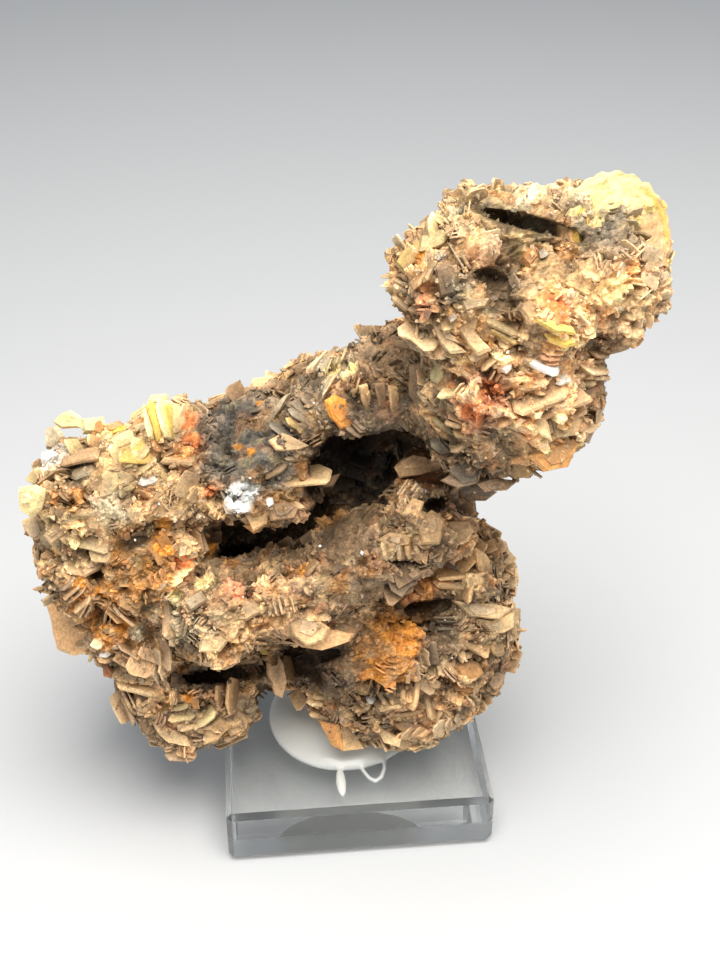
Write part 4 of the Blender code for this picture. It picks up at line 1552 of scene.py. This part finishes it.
def crumbs(stone, points, groups):
    pick = random.Random(SEED + 2)
    places, _ = surface_places(pick, stone, points, CRUMB_COUNT)
    places = np.vstack([places, grit_places(pick, groups, GRIT_COUNT)])
    crust, blade = stone.tones(places)
    shape = np.array([(1, 0, 0), (0, 1, 0), (-1, 0, 0), (0, -1, 0), (0, 0, 1), (0, 0, -1)], float)
    above = [(k, (k + 1) % 4, 4) for k in range(4)]
    faces = np.array(above + [(b, a, 5) for a, b, _ in above])
    corners, colours = [], []
    covers = stone.covering(places)
    for place, dull, bright, cover in zip(places, crust, blade, covers):
        if pick.random() > 0.35 + 8.0 * cover or near_fan(place):
            continue
        corners.append(shape @ crumb_axes(pick, pick.uniform(*CRUMB_SIZE)) + place)
        share = pick.random() * 0.6
        colours.append(vary(pick, (dull * (1.0 - share) + bright * share) * 1.15))
    # White crumbs at the glittering specks: painted glints
    for point in GLINTS:
        place = stone.anchor(point) - photo_ray(point) * 0.6
        corners.append(shape @ crumb_axes(pick, pick.uniform(0.16, 0.34)) + np.array(place))
        colours.append(TONE["white"])
    all_faces = faces[None] + (np.arange(len(corners)) * 6)[:, None, None]
    tints = np.repeat(np.array(colours), 6, axis=0)
    return painted_object("crumbs", np.vstack(corners), all_faces.reshape(-1, 3).tolist(), tints)


# Materials

def new_material(name):
    material = bpy.data.materials.new(name)
    material.use_nodes = True
    tree = material.node_tree
    return material, tree, tree.nodes["Principled BSDF"]


def feed(tree, node, inputs):
    """Give each named input a value or another node's output."""
    for key, value in inputs.items():
        if isinstance(value, bpy.types.NodeSocket):
            tree.links.new(value, node.inputs[key])
        else:
            node.inputs[key].default_value = value


def add_node(tree, kind, output, inputs, **settings):
    """One output of a new node with these settings and inputs."""
    node = tree.nodes.new("ShaderNode" + kind)
    for key, value in settings.items():
        setattr(node, key, value)
    feed(tree, node, inputs)
    return node.outputs[output]


def noise_node(tree, scale, detail):
    where = add_node(tree, "TexCoord", "Object", {})
    return add_node(tree, "TexNoise", "Fac",
                    {"Vector": where, "Scale": scale, "Detail": detail, "Roughness": 0.6})


def ramp_node(tree, source, low, high, start=0.3, stop=0.7):
    return add_node(tree, "MapRange", "Result",
                    {"Value": source, "From Min": start, "From Max": stop, "To Min": low, "To Max": high})


def bump_node(tree, height, strength, distance, **more):
    return add_node(tree, "Bump", "Normal",
                    {"Height": height, "Strength": strength, "Distance": distance, **more})


def math_node(tree, operation, *values):
    return add_node(tree, "Math", 0, dict(enumerate(values)), operation=operation)


def tone_material(name, roughness, speckle, grain, specular):
    """The stored colours, speckled by noise, with a fine bump."""
    material, tree, shader = new_material(name)
    stored = add_node(tree, "VertexColor", "Color", {}, layer_name="Tone")
    fine = noise_node(tree, 2400.0, 3.0)
    wide = noise_node(tree, 380.0, 4.0)
    factor = ramp_node(tree, fine, 1.0 - speckle, 1.0 + speckle)
    light = math_node(tree, "MULTIPLY", factor, ramp_node(tree, wide, 0.82, 1.18))
    feed(tree, shader, {
        "Base Color": add_node(tree, "VectorMath", "Vector", {0: stored, "Scale": light}, operation="SCALE"),
        "Roughness": ramp_node(tree, wide, *roughness),
        "Specular IOR Level": specular,
        "Normal": bump_node(tree, wide, 0.5, 2.0 * grain, Normal=bump_node(tree, fine, 0.6, grain)),
    })
    return material


def glue_material():
    material, tree, shader = new_material("milky_glue")
    cloud = noise_node(tree, 240.0, 3.0)
    tones = {"Factor": cloud, "A": (0.80, 0.80, 0.74, 1.0), "B": (0.90, 0.91, 0.88, 1.0)}
    feed(tree, shader, {
        "Base Color": add_node(tree, "Mix", "Result", tones, data_type="RGBA"),
        "Roughness": 0.22,
        "Transmission Weight": 0.15,
        "IOR": 1.47,
        "Subsurface Weight": 0.6,
        "Subsurface Radius": (1.0, 0.95, 0.85),
        "Subsurface Scale": 0.0015,
        "Normal": bump_node(tree, cloud, 0.15, 0.0002),
    })
    return material


def upward(tree, output):
    """The Z part of a coordinate that Blender gives for the surface."""
    where = add_node(tree, "TexCoord", output, {})
    return add_node(tree, "SeparateXYZ", "Z", {"Vector": where})


def acrylic_material():
    """Clear plastic, faintly scuffed, a little frosted on its sloped edges and low on its sides."""
    material, tree, shader = new_material("clear_acrylic")
    steep = math_node(tree, "ABSOLUTE", upward(tree, "Normal"))
    slope = math_node(tree, "COMPARE", steep, 0.7, 0.25)
    side = math_node(tree, "LESS_THAN", steep, 0.2)
    from_height, to_height = (share * BASE_HEIGHT * MM for share in (0.42, 0.52))
    low = ramp_node(tree, upward(tree, "Object"), 1.0, 0.0, from_height, to_height)
    frost = math_node(tree, "MULTIPLY_ADD", side, low, math_node(tree, "MULTIPLY", slope, 0.6))
    scuffs = ramp_node(tree, noise_node(tree, 900.0, 2.0), 0.0, 0.03, 0.45, 0.75)
    feed(tree, shader, {
        "Base Color": (0.975, 0.99, 0.985, 1.0),
        "IOR": 1.49,
        "Transmission Weight": 1.0,
        "Roughness": math_node(tree, "MULTIPLY_ADD", frost, 0.5, scuffs),
    })
    return material


def floor_material():
    material, tree, shader = new_material("pale_floor")
    grain = noise_node(tree, 500.0, 2.0)
    feed(tree, shader, {
        "Base Color": (0.56, 0.57, 0.58, 1.0),
        "Roughness": 0.85,
        "Normal": bump_node(tree, grain, 0.1, 0.0003),
    })
    return material


def wear(obj, material):
    obj.data.materials.clear()
    obj.data.materials.append(material)


# Glue

def dome_ring(step):
    """One ring of the glue's dome, from its rim inwards."""
    share = 1.0 - step / DOME_RINGS
    height = PAD_EDGE_HEIGHT + (PAD_HEIGHT - PAD_EDGE_HEIGHT) * (1.0 - share ** 2)
    level = GLUE_FOOT + height * (0.75 if step == 0 else 1.0)
    x, y = PAD_CENTRE
    ring = []
    for k in range(DOME_SIDES):
        angle = 2.0 * math.pi * k / DOME_SIDES
        radius = PAD_RADIUS * 0.985 * share * (1.0 + 0.012 * math.sin(3 * angle + 1.0))
        ring.append((x + radius * math.cos(angle), y + radius * math.sin(angle), level))
    return ring


def glue_piece():
    """Dome, drop and loop run together, as set glue."""
    rings = [dome_ring(step) for step in range(DOME_RINGS)]
    low = [(x, y, GLUE_FOOT) for x, y, _ in rings[0]]
    bm = bmesh.new()
    verts = [bm.verts.new(Vector(p) * MM) for ring in [low, *rings] for p in ring]
    for face in turned_faces(len(rings) + 1, DOME_SIDES):
        bm.faces.new([verts[k] for k in reversed(face)])
    add_balls(bm, [Matrix.Translation((*DROP, GLUE_FOOT + 0.5)) @ Matrix.Diagonal((*DROP_RADII, 1.0))])
    for (first, second), k in product(zip(LOOP, LOOP[1:]), range(BEADS)):
        x, y = (a + (b - a) * k / BEADS for a, b in zip(first, second))
        bead = Matrix.Translation((x, y, GLUE_FOOT + 0.38)) @ Matrix.Scale(BEAD_RADIUS, 4)
        add_balls(bm, [bead], 2)
    pad = object_from("glue", bm)
    remesh(pad, GLUE_VOXEL, 3)
    for polygon in pad.data.polygons:
        polygon.use_smooth = True
    return pad


# Room

def make_room():
    bpy.ops.mesh.primitive_plane_add(size=FLOOR_SIZE, location=(0.0, 0.0, FLOOR_LEVEL * MM))
    floor = bpy.context.object
    floor.name = "floor"
    wear(floor, floor_material())
    world = bpy.data.worlds.new("soft_room")
    bpy.context.scene.world = world
    world.use_nodes = True
    back = world.node_tree.nodes["Background"]
    feed(world.node_tree, back, {"Color": ROOM_COLOUR, "Strength": ROOM_STRENGTH})
    for row in LIGHTS:
        add_light(*row)


def add_light(name, place, target, size, power, colour):
    data = bpy.data.lights.new(name, "AREA")
    data.shape = "DISK"
    data.size = size
    data.energy = power
    data.color = colour
    light = add_object(name, data)
    light.location = place
    light.rotation_euler = (Vector(target) - Vector(place)).to_track_quat("-Z", "Y").to_euler()


def as_part(obj, material):
    wear(obj, material)
    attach(obj, "root")
    return obj


def main():
    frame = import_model()
    noise.seed_set(NOISE_SEED)
    bpy.context.scene.view_settings.view_transform = "Standard"
    make_camera()
    make_room()

    core, dents = grown_core()
    stone = Stone(core, dents)
    points = make_crust(core, stone)
    crust_look = tone_material("crust_look", (0.7, 0.95), 0.45, 0.0003, 0.2)
    blade_look = tone_material("blade_look", (0.42, 0.7), 0.28, 0.00018, 0.35)
    as_part(core, crust_look)
    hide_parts("barite")

    listed, heroes = listed_crystals(stone)
    as_part(listed.build("listed_crystals", stone), blade_look)
    as_part(fan_piece(), tone_material("fan_look", (0.45, 0.7), 0.18, 0.0002, 0.35))
    upper, lower = strewn_clusters(stone, points, heroes)
    as_part(upper.build("blades_upper", stone), blade_look)
    as_part(lower.build("blades_lower", stone), blade_look)
    as_part(strewn_micro(stone, points, listed).build("small_blades", stone), blade_look)
    as_part(crumbs(stone, points, (upper, lower, listed)), crust_look)

    glue = as_part(glue_piece(), glue_material())
    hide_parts("glue_pad")
    wear(frame["nodes"]["acrylic_base"], acrylic_material())


main()
